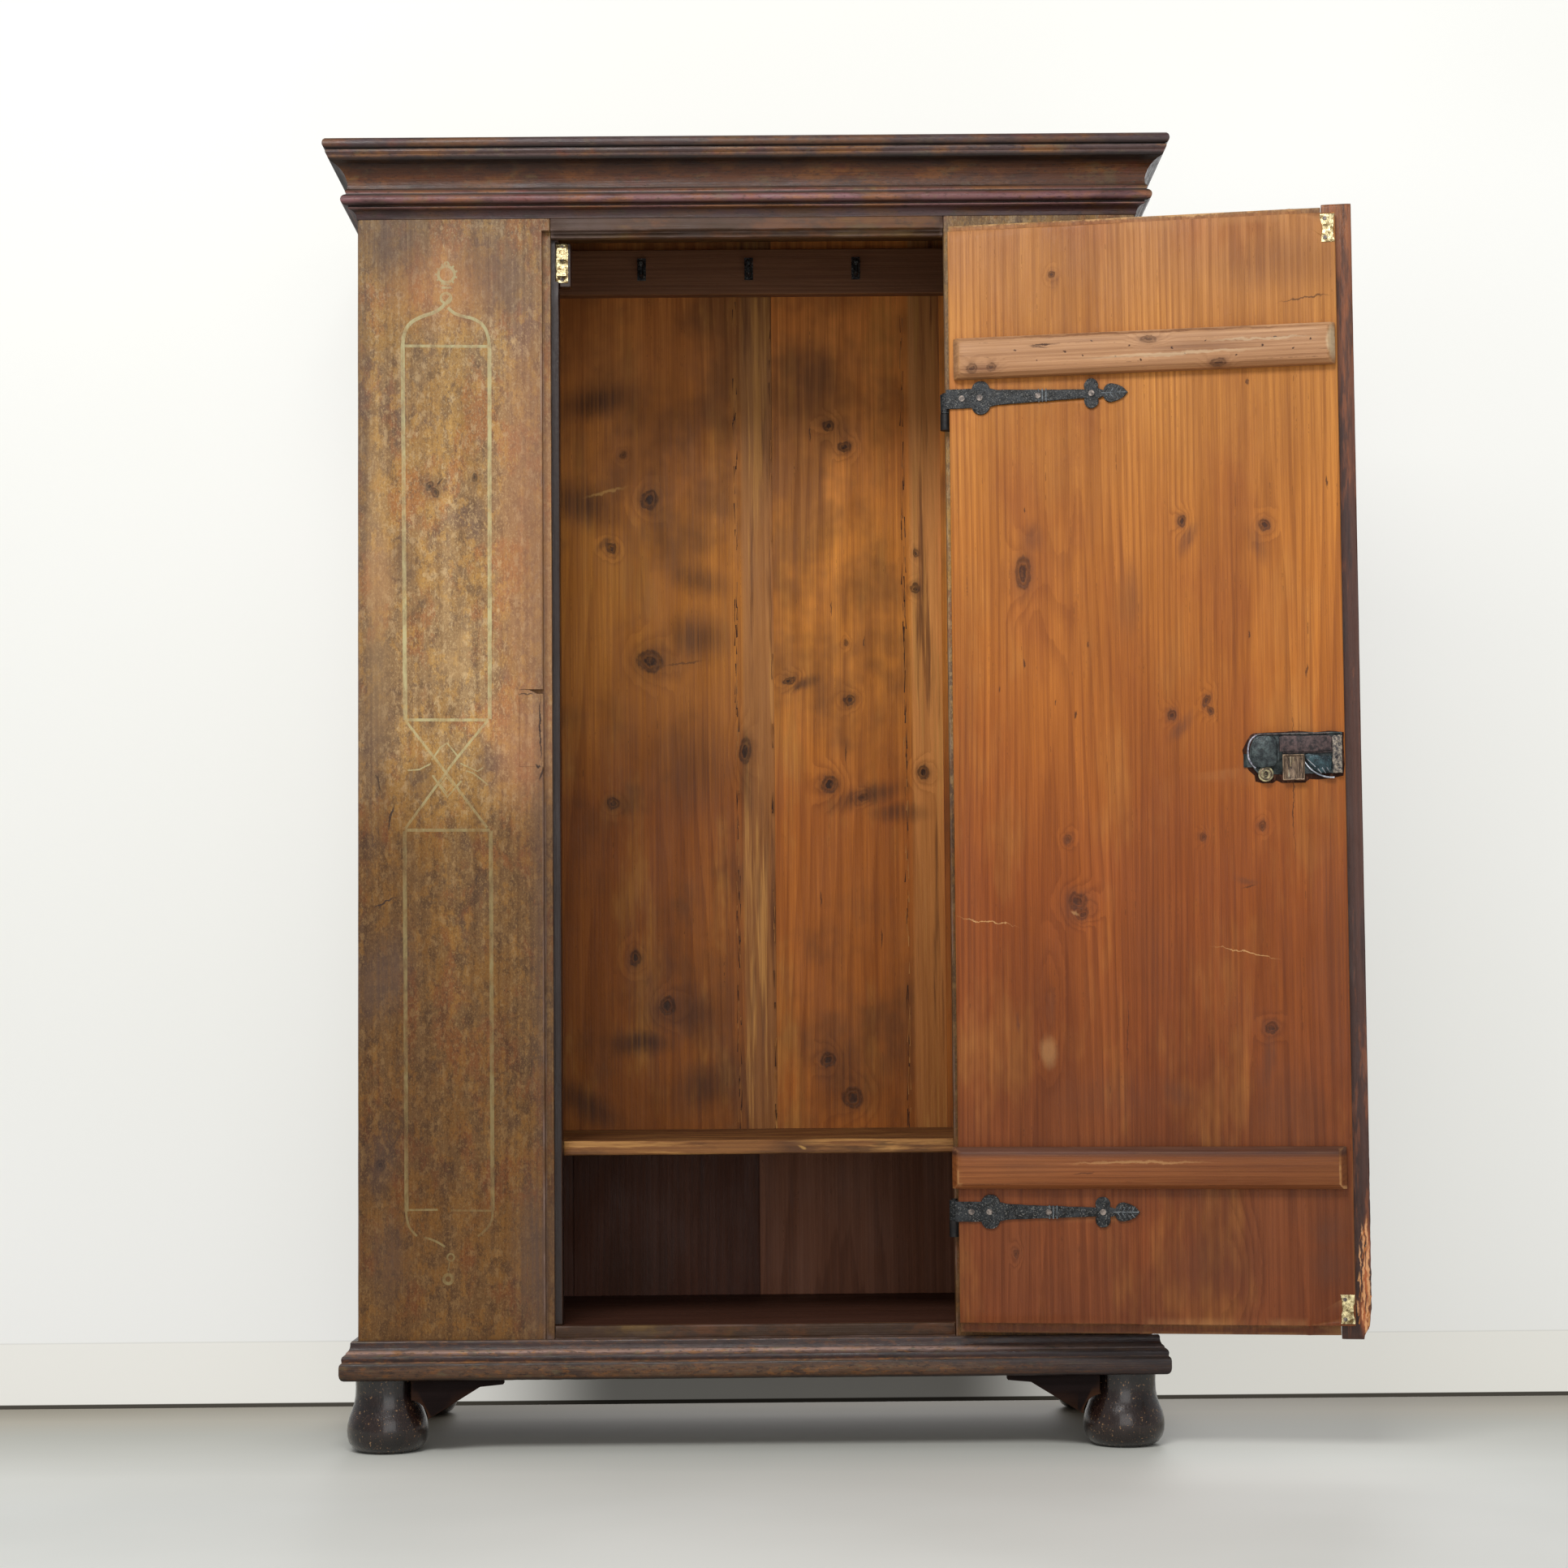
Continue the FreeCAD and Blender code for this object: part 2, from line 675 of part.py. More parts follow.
def make_back():
    meeting = "shelf_bottom + shelf_board / 2"
    rows = (
        ("upper", ("back_first", "back_second", "back_third"), (meeting, "crown")),
        ("lower", ("lower_first", "lower_second", "lower_third"), ("foot_height", meeting)),
    )
    for row, widths, span in rows:
        start = "-half_width"
        for number in range(1, len(widths) + 2):
            last = number > len(widths)
            edge = "half_width" if last else f"{start} + {widths[number - 1]}_share * carcass_width"
            end = edge if last else f"{edge} - back_gap"
            board = new_body(f"{row}_back_board_{number}")
            edge_line = [(end, "carcass_depth")]
            if not last:
                edge_line = [(f"{end} - back_bevel", "carcass_depth"), (end, "carcass_depth + back_bevel_fall")]
            corners = [(start, "carcass_depth"), *edge_line, (end, "back_face"), (start, "back_face")]
            top = f"{span[1]} - back_gap" if row == "lower" else span[1]
            prism(board, "board", "XY_Plane", span[0], top, corners)
            start = edge
    rail = new_body("hook_rail")
    block(rail, "board", ("side_board - half_width", "half_width - side_board"),
          ("carcass_depth - hook_rail_thickness", "carcass_depth"), ("rail_bottom", "rail_top"))


def make_hooks():
    """Five iron hooks on the rail: a plate, an arm, an upturned end and its knob."""
    face = "carcass_depth - hook_rail_thickness"
    plate_top = "rail_top - hook_plate_drop"
    arm_z = f"{plate_top} - hook_plate_height + hook_rod + hook_plate_thickness"
    front = f"{face} - hook_reach"
    hooks = []
    for number in range(5):
        x = f"({number} - 2) * hook_pitch_share * carcass_width"
        parts = [
            loose_box(f"hook_plate_{number}", (f"{x} - hook_plate_width / 2", f"{x} + hook_plate_width / 2"),
                      (f"{face} - hook_plate_thickness", face),
                      (f"{plate_top} - hook_plate_height", plate_top)),
            loose_rod(f"hook_arm_{number}", "Y", "hook_rod", (x, front, arm_z),
                      "hook_reach - hook_plate_thickness / 2"),
            loose_ball(f"hook_elbow_{number}", "hook_rod", (x, front, arm_z)),
            loose_rod(f"hook_end_{number}", "Z", "hook_rod", (x, front, arm_z), "hook_rise"),
            loose_ball(f"hook_knob_{number}", "hook_knob", (x, front, f"{arm_z} + hook_rise")),
        ]
        hooks.append(joined(f"hook_{number}", parts))
    group("coat_hooks", hooks)


# Mouldings: one section for the front and both sides, mitred at the corners

def cornice_section(out):
    """Corner points of the cornice, from the crown down; out turns a reach into a coordinate."""
    level = "crown"
    section = [(out("0"), level), (out("thumb_reach - thumb_set"), level)]

    def step(reach, drop, *bulge):
        nonlocal level
        level = f"{level} - {drop}"
        section.append((out(reach), level, *bulge))

    step("thumb_reach - thumb_set", "thumb_height", "quarter_bulge_share")
    section.append((out("fillet_reach"), level))
    step("fillet_reach", "fillet_height")
    step("bevel_reach", "bevel_height")
    step("cove_reach", "cove_height", "-cove_bulge_share")
    step("band_reach", "band_step")
    step("band_reach", "band_height")
    step("bead_set", "bead_height", "bead_bulge_share")
    section.append((out("neck_reach"), level))
    step("neck_reach", "neck_height")
    section.append((out("foot_cove_reach"), "front_top", "-quarter_bulge_share"))
    section.append((out("0"), "front_top"))
    return section


def plinth_section(out):
    """Corner points of the plinth moulding, from its top down."""
    lip = "plinth_top - plinth_lip_round"
    cyma = "plinth_top - plinth_lip_height"
    middle = f"{cyma} - plinth_cyma_height / 2"
    face = f"{cyma} - plinth_cyma_height"
    mid_reach = "(plinth_lip_reach + plinth_reach) / 2"
    return [
        (out("0"), "plinth_top"),
        (out("plinth_lip_reach - plinth_lip_round"), "plinth_top"),
        (out("plinth_lip_reach"), lip, "quarter_bulge_share"),
        (out("plinth_lip_reach"), cyma),
        (out(mid_reach), middle, "-quarter_bulge_share"),
        (out("plinth_reach"), face, "quarter_bulge_share"),
        (out("plinth_reach"), "foot_height + plinth_foot_round"),
        (out("plinth_reach - plinth_foot_round"), "foot_height", "quarter_bulge_share"),
        (out("0"), "foot_height"),
    ]


def flipped(section):
    """The same section for the other hand: arcs bulge to the other side."""
    return [(across, up, *(f"-({bulge})" for bulge in bulges)) for across, up, *bulges in section]


def make_moulding(name, section, reach, low, high):
    """Front and side lengths of one moulding round the carcass."""
    far = f"{reach} + cut_overrun"
    front = new_body(f"front_{name}")
    run = f"half_width + {reach}"
    prism(front, "run", "YZ_Plane", f"-({run})", run, section(lambda size: f"-({size})"))
    for hand in ("-1", "1"):
        tip = f"{hand} * (half_width + {far})"
        waste = [(f"{hand} * half_width", "0"), (tip, f"-({far})"), (tip, "0")]
        prism(front, f"mitre_{'left' if hand == '-1' else 'right'}", "XY_Plane", f"{low} - cut_overrun",
              f"{high} + cut_overrun", waste, cut=True)
    for side, hand in (("left", "-1"), ("right", "1")):
        piece = new_body(f"{side}_{name}")
        shape = section(lambda size, hand=hand: f"{hand} * (half_width + {size})")
        if hand == "1":
            shape = flipped(shape)
        prism(piece, "run", "XZ_Plane", f"-({reach})", "back_face", shape)
        waste = [(f"{hand} * half_width", "0"), (f"{hand} * (half_width + {far})", f"-({far})"),
                 (f"{hand} * half_width", f"-({far})")]
        prism(piece, "mitre", "XY_Plane", f"{low} - cut_overrun", f"{high} + cut_overrun", waste, cut=True)


# Bun feet, their blocks and the scribed brackets

def make_feet():
    profile = [
        ("0", "0"),
        ("foot_sole_radius", "0"),
        ("foot_neck_radius + foot_neck_step", "foot_ball_share * foot_height", "foot_ball_bulge_share"),
        ("foot_neck_radius", "foot_ball_share * foot_height + foot_neck_step"),
        ("foot_collar_radius", "foot_height"),
        ("foot_spigot_radius", "foot_height"),
        ("foot_spigot_radius", "foot_height + foot_spigot_length"),
        ("0", "foot_height + foot_spigot_length"),
    ]
    blocks = []
    for depth, y in (("front", "foot_inset"), ("rear", "back_face - foot_radius")):
        for side, x in (("left", "foot_inset - half_width"), ("right", "half_width - foot_inset")):
            turned(new_body(f"{depth}_{side}_foot", at=(x, y, "0")), "turning", profile)
            corner = loose_body(f"{depth}_{side}_block")
            blocks.append(corner)
            inner = "half_width - side_board"
            across = (f"-({inner})", f"foot_block_size - ({inner})") if side == "left" else (
                f"{inner} - foot_block_size", inner)
            along = ("front_board", "front_board + foot_block_size") if depth == "front" else (
                "carcass_depth - foot_block_size", "carcass_depth")
            block(corner, "block", across, along, ("foot_height", "floor_bottom"))
            rod(corner, "bore", "Z", "foot_spigot_radius + spigot_fit", (x, y, "foot_height - cut_overrun"),
                "foot_spigot_length + 2 * cut_overrun", cut=True)
    group("foot_blocks", blocks)


def make_brackets():
    brackets = []
    for side, hand in (("left", "1"), ("right", "-1")):
        def place(reach, hand=hand):
            return f"{hand} * (foot_inset - half_width + {reach})"

        shape = [
            (place("bracket_neck_reach"), "foot_height"),
            (place("bracket_reach"), "foot_height"),
            (place("bracket_reach"), "foot_height - bracket_tail"),
            (place("bracket_knee_reach"), "foot_height - bracket_knee_drop"),
            (place("bracket_toe_reach"), "foot_height - bracket_toe_drop"),
            (place("bracket_neck_reach"), "foot_height - bracket_neck_drop", f"{hand} * bracket_bulge_share"),
        ]
        brackets.append(loose_body(f"{side}_bracket"))
        prism(brackets[-1], "plate", "XZ_Plane", "-bracket_forward", "bracket_thickness - bracket_forward",
              shape)
    group("foot_brackets", brackets)


# Door leaf, drawn closed about the hinge pin: the leaf runs towards -X, its inner face looks to +Y

def make_leaf():
    full = ("leaf_bottom", "leaf_top")
    lipped = ("lip_bottom", "lip_top")
    joints = ["edge", "first_joint", "second_joint", "free_edge"]
    for number in range(1, 4):
        board = new_body(f"door_board_{number}", on_door=True)
        low = joints[number] if number == 3 else f"{joints[number]} + leaf_joint"
        across = (low, joints[number - 1])
        block(board, "body", across, ("leaf_front", "leaf_back"), full)
        block(board, "lip", across, ("leaf_front", "lip_back"), lipped)
        if number == 2:
            keyhole(board, "leaf_front", "leaf_thickness")
        if number == 3:
            block(board, "strip_seat", ("free_edge - cut_overrun", "strip_inner"),
                  ("leaf_front - cut_overrun", "lip_back"),
                  ("lip_bottom - cut_overrun", "lip_top + cut_overrun"), cut=True)
            for name, z in STRIKE_SCREWS:
                pilot(board, name, "small_screw", ("strike_x", "leaf_back", z), "-1")
        else:
            for name, x, z in HINGE_SCREWS:
                pilot(board, name, "screw", (x, "leaf_back", z), "-1")
    block(new_body("closing_strip", on_door=True), "strip", ("strip_outer", "strip_inner"),
          ("leaf_front", "lip_back"), ("plinth_top + strip_foot_gap", "rebate_top - strip_head_gap"))


def make_ledges():
    for name in ("upper", "lower"):
        ledge = new_body(f"{name}_ledge", on_door=True)
        low, high = f"free_edge + {name}_ledge_margin", f"edge - {name}_ledge_start"
        bottom = f"leaf_bottom + {name}_ledge_share * front_height"
        top = f"{bottom} + ledge_height"
        shoulder = "ledge_front - ledge_bevel"
        section = [
            ("leaf_back", bottom), (shoulder, bottom), ("ledge_front", f"{bottom} + ledge_bevel"),
            ("ledge_front", f"{top} - ledge_bevel"), (shoulder, top), ("leaf_back", top),
        ]
        prism(ledge, "bar", "YZ_Plane", low, high, section)
        for end, tip, inwards in (("free", low, "1"), ("hinge", high, "-1")):
            root = f"{tip} + {inwards} * ledge_end_bevel"
            out = f"{tip} - {inwards} * cut_overrun"
            waste = [(tip, "leaf_back + ledge_bevel"), (root, "ledge_front + cut_overrun"),
                     (out, "ledge_front + cut_overrun"), (out, "leaf_back + ledge_bevel")]
            prism(ledge, f"{end}_bevel", "XY_Plane", f"{bottom} - cut_overrun", f"{top} + cut_overrun",
                  waste, cut=True)


# Strap hinges and their pintles

def strap_half(side):
    """One long side of a strap, from the hinge edge to the tip; side is 1 above and -1 below."""
    bulge = f"{side} * "
    return [
        ("-strap_thickness", "tab_half"),
        ("tab_length", "tab_half"),
        ("head_end", "head_half", f"{bulge}head_bulge_share"),
        ("bar_start", "bar_start_half"),
        ("bar_end", "bar_end_half"),
        ("cross_end", "cross_half", f"{bulge}cross_bulge_share"),
        ("leaf_root", "leaf_root_half"),
        ("leaf_broad", "leaf_broad_half", f"{bulge}leaf_root_bulge_share"),
        ("leaf_tip", "0", f"{bulge}leaf_side_bulge_share"),
    ]


def strap_outline(centre):
    upper = strap_half("1")
    points = [(f"edge - ({along})", f"{centre} + {half}", *bulge) for along, half, *bulge in upper]
    lower = upper[::-1]
    for index, (along, half, *_) in enumerate(lower[1:]):
        bulge = lower[index][2:]
        points.append((f"edge - ({along})", f"{centre} - ({half})", *bulge))
    return points


def make_hinges():
    plate = ("leaf_back", "strap_face")
    for name in ("upper", "lower"):
        centre = f"{name}_hinge_z"
        tab = (f"{centre} - tab_half", f"{centre} + tab_half")
        strap = new_body(f"{name}_hinge_strap", on_door=True)
        prism(strap, "plate", "XZ_Plane", *plate, strap_outline(centre))
        block(strap, "crank", ("edge", "edge + strap_thickness"), ("0", plate[1]), tab)
        rod(strap, "knuckle", "Z", "knuckle_radius", ("0", "0", tab[0]), "2 * tab_half")
        rod(strap, "bore", "Z", "pin_radius + pin_fit", ("0", "0", f"{tab[0]} - cut_overrun"),
            "2 * tab_half + 2 * cut_overrun", cut=True)
        for screw_name, x, z in HINGE_SCREWS:
            if screw_name.startswith(name):
                pilot(strap, screw_name, "screw", (x, "strap_face", z), "-1")
        make_pintle(name)
    group("door_screws", [screw(name, "screw", (x, "strap_face", z), "-1") for name, x, z in HINGE_SCREWS]
          + [screw(name, "small_screw", ("strike_x", "strike_face", z), "-1") for name, z in STRIKE_SCREWS],
          on_door=True)
    plate_front = "-pintle_plate_thickness"
    screws = [screw(name, "screw", (f"axis_x + {x}", plate_front, z), "1") for name, x, z in PINTLE_SCREWS]
    for name, hand in (("catch_upper", "1"), ("catch_lower", "-1")):
        base = ("catch_x", "catch_back - catch_plate", f"catch_z + {hand} * catch_screw_set")
        screws.append(screw(name, "small_screw", base, "1"))
    group("frame_screws", screws)


def make_pintle(name):
    """A plate on the stile, an eye below the knuckle and the pin that stands up through it."""
    pintle = new_body(f"{name}_pintle", at=("axis_x", "-axis_standoff", "0"))
    span = (f"{name}_pintle_top - pintle_drop", f"{name}_pintle_top")
    stile = ("axis_standoff - pintle_plate_thickness", "axis_standoff")
    block(pintle, "plate", ("axis_inset + pintle_plate_thickness", "pintle_plate_width"), stile, span)
    block(pintle, "arm", ("0", "pintle_arm_reach"), ("-pin_radius", "axis_standoff"), span)
    rod(pintle, "eye", "Z", "knuckle_radius", ("0", "0", span[0]), "pintle_drop")
    rod(pintle, "pin", "Z", "pin_radius", ("0", "0", span[0]),
        "pintle_drop + seat_gap + 2 * tab_half + pintle_pin_top")
    for screw_name, x, z in PINTLE_SCREWS:
        if screw_name.startswith(name):
            pilot(pintle, screw_name, "screw", (x, stile[0], z), "1")


# Ball catch in the head of the doorway

def make_catch():
    body = new_body("catch_body", at=("catch_x", "catch_back", "catch_z"))
    block(body, "plate", ("-catch_width / 2", "catch_width / 2"), ("-catch_plate", "0"),
          ("-catch_height / 2", "catch_height / 2"))
    front = "-catch_plate - catch_housing_depth"
    ball_y = "-catch_plate - catch_housing_depth / 2"
    for name, hand in (("upper", "1"), ("lower", "-1")):
        near = f"{hand} * catch_gap / 2"
        far = f"{hand} * (catch_gap / 2 + catch_housing_height)"
        span = (near, far) if hand == "1" else (far, near)
        block(body, f"{name}_housing", ("-catch_housing_width / 2", "catch_housing_width / 2"),
              (front, "-catch_plate"), span)
        pilot(body, name, "small_screw", ("0", "-catch_plate", f"{hand} * catch_screw_set"), "1")
    rod(body, "bore", "Z", "ball_radius + ball_fit", ("0", ball_y, "-catch_bore / 2"), "catch_bore", cut=True)
    centre = "catch_gap / 2 - ball_stand + ball_radius"
    back = f"({centre} + ball_radius)"
    for name, hand in (("upper", "1"), ("lower", "-1")):
        ball = loose_ball(f"{name}_catch_ball", "ball_radius", ("0", "0", "0"))
        place = ("catch_x", f"catch_back + {ball_y}", f"catch_z + {hand} * ({centre})")
        settle(ball, f"{name}_catch_ball", at=place)
        spring = new_body(f"{name}_catch_spring", at=("catch_x", f"catch_back + {ball_y}", "catch_z"))
        low = back if hand == "1" else "-catch_bore / 2"
        rod(spring, "coil", "Z", "spring_radius", ("0", "0", low), f"catch_bore / 2 - {back}")
        rod(spring, "core", "Z", "spring_radius - spring_wall", ("0", "0", f"{low} - cut_overrun"),
            f"catch_bore / 2 - {back} + 2 * cut_overrun", cut=True)


def make_strikes():
    """Two plates on the leaf, each with a tongue. The upper one enters between the catch's balls."""
    outer = "free_edge + strike_edge_set"
    across = (outer, f"{outer} + tongue_width")
    tip = "strike_face + tongue_length"
    strikes = []
    for name, centre in (("upper", "catch_z"), ("lower", "lower_strike_z")):
        strike = loose_body(f"{name}_strike")
        strikes.append(strike)
        block(strike, "plate", (outer, f"{outer} + strike_width"), ("leaf_back", "strike_face"),
              (f"{centre} - strike_height / 2", f"{centre} + strike_height / 2"))
        block(strike, "tongue", across, ("leaf_back", tip),
              (f"{centre} - tongue_half", f"{centre} + tongue_half"))
        block(strike, "tongue_head", across, (f"{tip} - tongue_head", tip),
              (f"{centre} - tongue_head_half", f"{centre} + tongue_head_half"))
        for screw_name, z in STRIKE_SCREWS:
            if screw_name.startswith(name):
                pilot(strike, screw_name, "small_screw", ("strike_x", "strike_face", z), "-1")
    group("strikes", strikes, on_door=True)


# Rim lock

def make_lock():
    case = new_body("lock_case", on_door=True)
    prism(case, "plate", "XZ_Plane", "leaf_back", "lock_face", [
        ("lock_outer", "lock_bottom"), ("lock_outer", "lock_top"), ("lock_flat_end", "lock_top"),
        ("lock_flat_end", "lock_bottom", "-lock_end_bulge_share"),
    ])
    depth = ("leaf_back", "leaf_back + lock_depth")
    block(case, "head", ("lock_outer", "lock_flat_end"), depth, ("lock_top - lock_wall", "lock_top"))
    block(case, "selvage", ("lock_outer", "lock_outer + lock_wall"), depth, ("lock_bottom", "lock_top"))
    inner_end = "lock_flat_end - lock_wall / 2"
    prism(case, "rim", "XZ_Plane", *depth, [
        ("lock_flat_end", "lock_top"), ("lock_flat_end", "lock_bottom", "-lock_end_bulge_share"),
        (inner_end, "lock_bottom + lock_wall"), (inner_end, "lock_top - lock_wall", "lock_end_bulge_share"),
    ])
    block(case, "tail", ("lock_flat_end", "lock_flat_end + lock_tail_reach"), ("leaf_back", "lock_face"),
          ("lock_bottom + lock_tail_rise", "lock_bottom + lock_tail_rise + lock_tail_height"))
    for name in ("low", "high"):
        base = ("lock_outer + rivet_set", "leaf_back", f"lock_bottom + rivet_{name}")
        rod(case, f"{name}_rivet", "Y", "rivet_radius", base, "lock_plate + rivet_height")
    bolt_z = ("bolt_top - bolt_height", "bolt_top")
    bolt_y = ("bolt_back", "bolt_back + bolt_thickness")
    block(case, "bolt_slot", ("lock_outer - cut_overrun", "lock_outer + lock_wall + bolt_clear"),
          (f"{bolt_y[0]} - bolt_clear / 2", f"{bolt_y[1]} + bolt_clear"),
          (f"{bolt_z[0]} - bolt_clear", f"{bolt_z[1]} + bolt_clear"), cut=True)
    pin_x = "lock_flat_end - key_pin_set"
    rod(case, "pin_seat", "Y", "key_pin_radius + seat_gap", (pin_x, "lock_face", "lock_bottom"),
        "lock_depth", cut=True)
    bolt = new_body("lock_bolt", on_door=True)
    block(bolt, "bar", ("bolt_end", "bolt_end + bolt_length"), bolt_y, bolt_z)
    pin = new_body("lock_key_pin", on_door=True)
    rod(pin, "boss", "Y", "key_pin_radius", (pin_x, "lock_face", "lock_bottom"), "key_pin_height")
    rod(pin, "hole", "Y", "key_pin_hole", (pin_x, "lock_face + lock_wall", "lock_bottom"),
        "key_pin_height", cut=True)
    make_lockwork()


def make_lockwork():
    """The tumbler, the box staple round the key's post and the leaf spring, all on the case plate."""
    top = "lock_top - lock_wall - seat_gap"
    tumbler = new_body("lock_tumbler", on_door=True)
    prism(tumbler, "plate", "XZ_Plane", "lock_face", "lock_face + tumbler_thickness", [
        ("lock_flat_end - tumbler_end", top), ("lock_flat_end - tumbler_start", top),
        ("lock_flat_end - tumbler_toe", f"{top} - tumbler_height", "-tumbler_bulge_share"),
        ("lock_flat_end - tumbler_end", f"{top} - tumbler_side"),
    ])
    staple = new_body("lock_staple", on_door=True)
    z = ("staple_bottom", "staple_bottom + staple_height")
    block(staple, "box", ("staple_outer", "staple_inner"), ("lock_face", "lock_face + staple_depth"), z)
    block(staple, "hollow", ("staple_outer + staple_wall", "staple_inner - staple_wall"),
          ("lock_face + staple_wall", "lock_face + staple_depth + cut_overrun"),
          (f"{z[0]} + staple_wall", f"{z[1]} - staple_wall"), cut=True)
    root = "staple_outer - seat_gap"
    tip = f"{root} - lock_spring_length"
    high = ("lock_bottom + lock_spring_root_rise", "lock_bottom - lock_spring_tip_drop")
    spring = new_body("lock_spring", on_door=True)
    prism(spring, "leaf", "XZ_Plane", "lock_face", "lock_face + lock_spring_depth", [
        (root, high[0], "lock_spring_bulge_share"), (root, f"{high[0]} - lock_spring_thickness"),
        (tip, f"{high[1]} - lock_spring_thickness", "-lock_spring_bulge_share"), (tip, high[1]),
    ])


def keyhole(body, face, depth):
    """A round hole with a slot below it, bored along Y from just before the face."""
    start = f"{face} - cut_overrun"
    rod(body, "keyhole", "Y", "keyhole_radius", ("keyhole_x", start, "keyhole_z"),
        f"{depth} + 2 * cut_overrun", cut=True)
    block(body, "key_slot", ("keyhole_x - keyhole_slot / 2", "keyhole_x + keyhole_slot / 2"),
          (start, f"{face} + {depth} + cut_overrun"), ("keyhole_z - keyhole_length", "keyhole_z"), cut=True)


def make_scutcheon():
    """The keyhole plate on the outer face."""
    plate = new_body("scutcheon", on_door=True)
    low, high = "keyhole_z - scutcheon_height / 2", "keyhole_z + scutcheon_height / 2"
    left, right = "keyhole_x - scutcheon_width / 2", "keyhole_x + scutcheon_width / 2"
    face = "leaf_front - scutcheon_thickness"
    prism(plate, "plate", "XZ_Plane", face, "leaf_front", [
        (left, low), (right, low, "scutcheon_bulge_share"),
        (right, high), (left, high, "scutcheon_bulge_share"),
    ])
    keyhole(plate, face, "scutcheon_thickness")


make_carcass()
make_front()
make_stop()
make_back()
make_hooks()
make_moulding("cornice", cornice_section, "thumb_reach", "front_top", "crown")
make_moulding("plinth", plinth_section, "plinth_reach", "foot_height", "plinth_top")
make_feet()
make_brackets()
make_leaf()
make_ledges()
make_hinges()
make_catch()
make_strikes()
make_lock()
make_scutcheon()

doc.recompute()
bad = [thing.Label for thing in doc.Objects if {"Invalid", "Error"} & set(thing.State)]
bad += [label for label, thing in PIECES.items() if thing.Shape.isNull() or not thing.Shape.isValid()]
if bad:
    raise RuntimeError(f"failed: {bad}")
os.makedirs("parts", exist_ok=True)
for label, thing in PIECES.items():
    thing.Shape.exportStep(f"parts/{label}.step")
print(len(PIECES), "sub-parts")
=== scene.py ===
"""Finishes and small surface pieces of an old one-door pine wardrobe, laid over its packed joinery.

Lengths are in metres. Places on a board are written in millimetres, as on a workshop drawing.
"""
import json
import math
import random

import bmesh
import bpy
from mathutils import Matrix, Vector, noise

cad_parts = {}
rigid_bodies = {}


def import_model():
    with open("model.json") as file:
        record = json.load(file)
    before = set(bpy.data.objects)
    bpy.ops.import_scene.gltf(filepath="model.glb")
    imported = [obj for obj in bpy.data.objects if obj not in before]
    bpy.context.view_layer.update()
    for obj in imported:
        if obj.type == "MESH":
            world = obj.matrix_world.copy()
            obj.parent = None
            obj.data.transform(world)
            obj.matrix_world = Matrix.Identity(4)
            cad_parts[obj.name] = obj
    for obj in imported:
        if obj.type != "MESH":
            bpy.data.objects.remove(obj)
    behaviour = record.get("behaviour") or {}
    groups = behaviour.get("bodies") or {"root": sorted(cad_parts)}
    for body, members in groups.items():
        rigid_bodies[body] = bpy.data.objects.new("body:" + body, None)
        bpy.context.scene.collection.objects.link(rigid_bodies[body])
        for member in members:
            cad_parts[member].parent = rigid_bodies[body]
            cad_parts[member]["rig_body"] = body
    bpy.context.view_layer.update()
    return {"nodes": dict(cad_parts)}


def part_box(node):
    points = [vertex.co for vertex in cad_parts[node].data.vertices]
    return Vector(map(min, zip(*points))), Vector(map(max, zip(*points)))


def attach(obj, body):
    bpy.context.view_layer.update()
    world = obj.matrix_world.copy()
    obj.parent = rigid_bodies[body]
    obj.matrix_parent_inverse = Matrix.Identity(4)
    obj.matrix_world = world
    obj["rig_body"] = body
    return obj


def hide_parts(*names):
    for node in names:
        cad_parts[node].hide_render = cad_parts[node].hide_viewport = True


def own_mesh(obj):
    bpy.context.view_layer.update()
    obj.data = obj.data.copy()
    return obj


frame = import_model()

MM = 0.001
DOOR_PLACE = (153.67, -174.416, 0)              # foot of the door's turning line, mm
HINGE = Vector(DOOR_PLACE) * MM
DOOR_TURN = math.radians(170.35)                # how far the door stands open
FRONT_FACE = -166.916                           # front of the case, mm
BACK_BOARD_FACE = 298.1                         # inner face of the back boards, mm
CASE_LEFT, CASE_RIGHT, CASE_BACK = -651.33, 418.67, 312.08
WELD = 0.00001                                  # corners nearer than this become one
ALONG_X, ALONG_Y, UP = 0, 1, 2
ACROSS, UPRIGHT = Vector((1, 0, 0)), Vector((0, 0, 1))
LYING = (0, math.radians(90), 0)                # turns the grain from side to side
DEEP = (math.radians(90), 0, 0)                 # turns the grain from front to back


def tone(red, green, blue):
    """A colour as it looks, 0 to 255, turned into the values that the shader counts in."""
    def straighten(part):
        part /= 255
        return part / 12.92 if part <= 0.04045 else ((part + 0.055) / 1.055) ** 2.4
    return (straighten(red), straighten(green), straighten(blue), 1.0)


# ---------------------------------------------------------------- shader bench

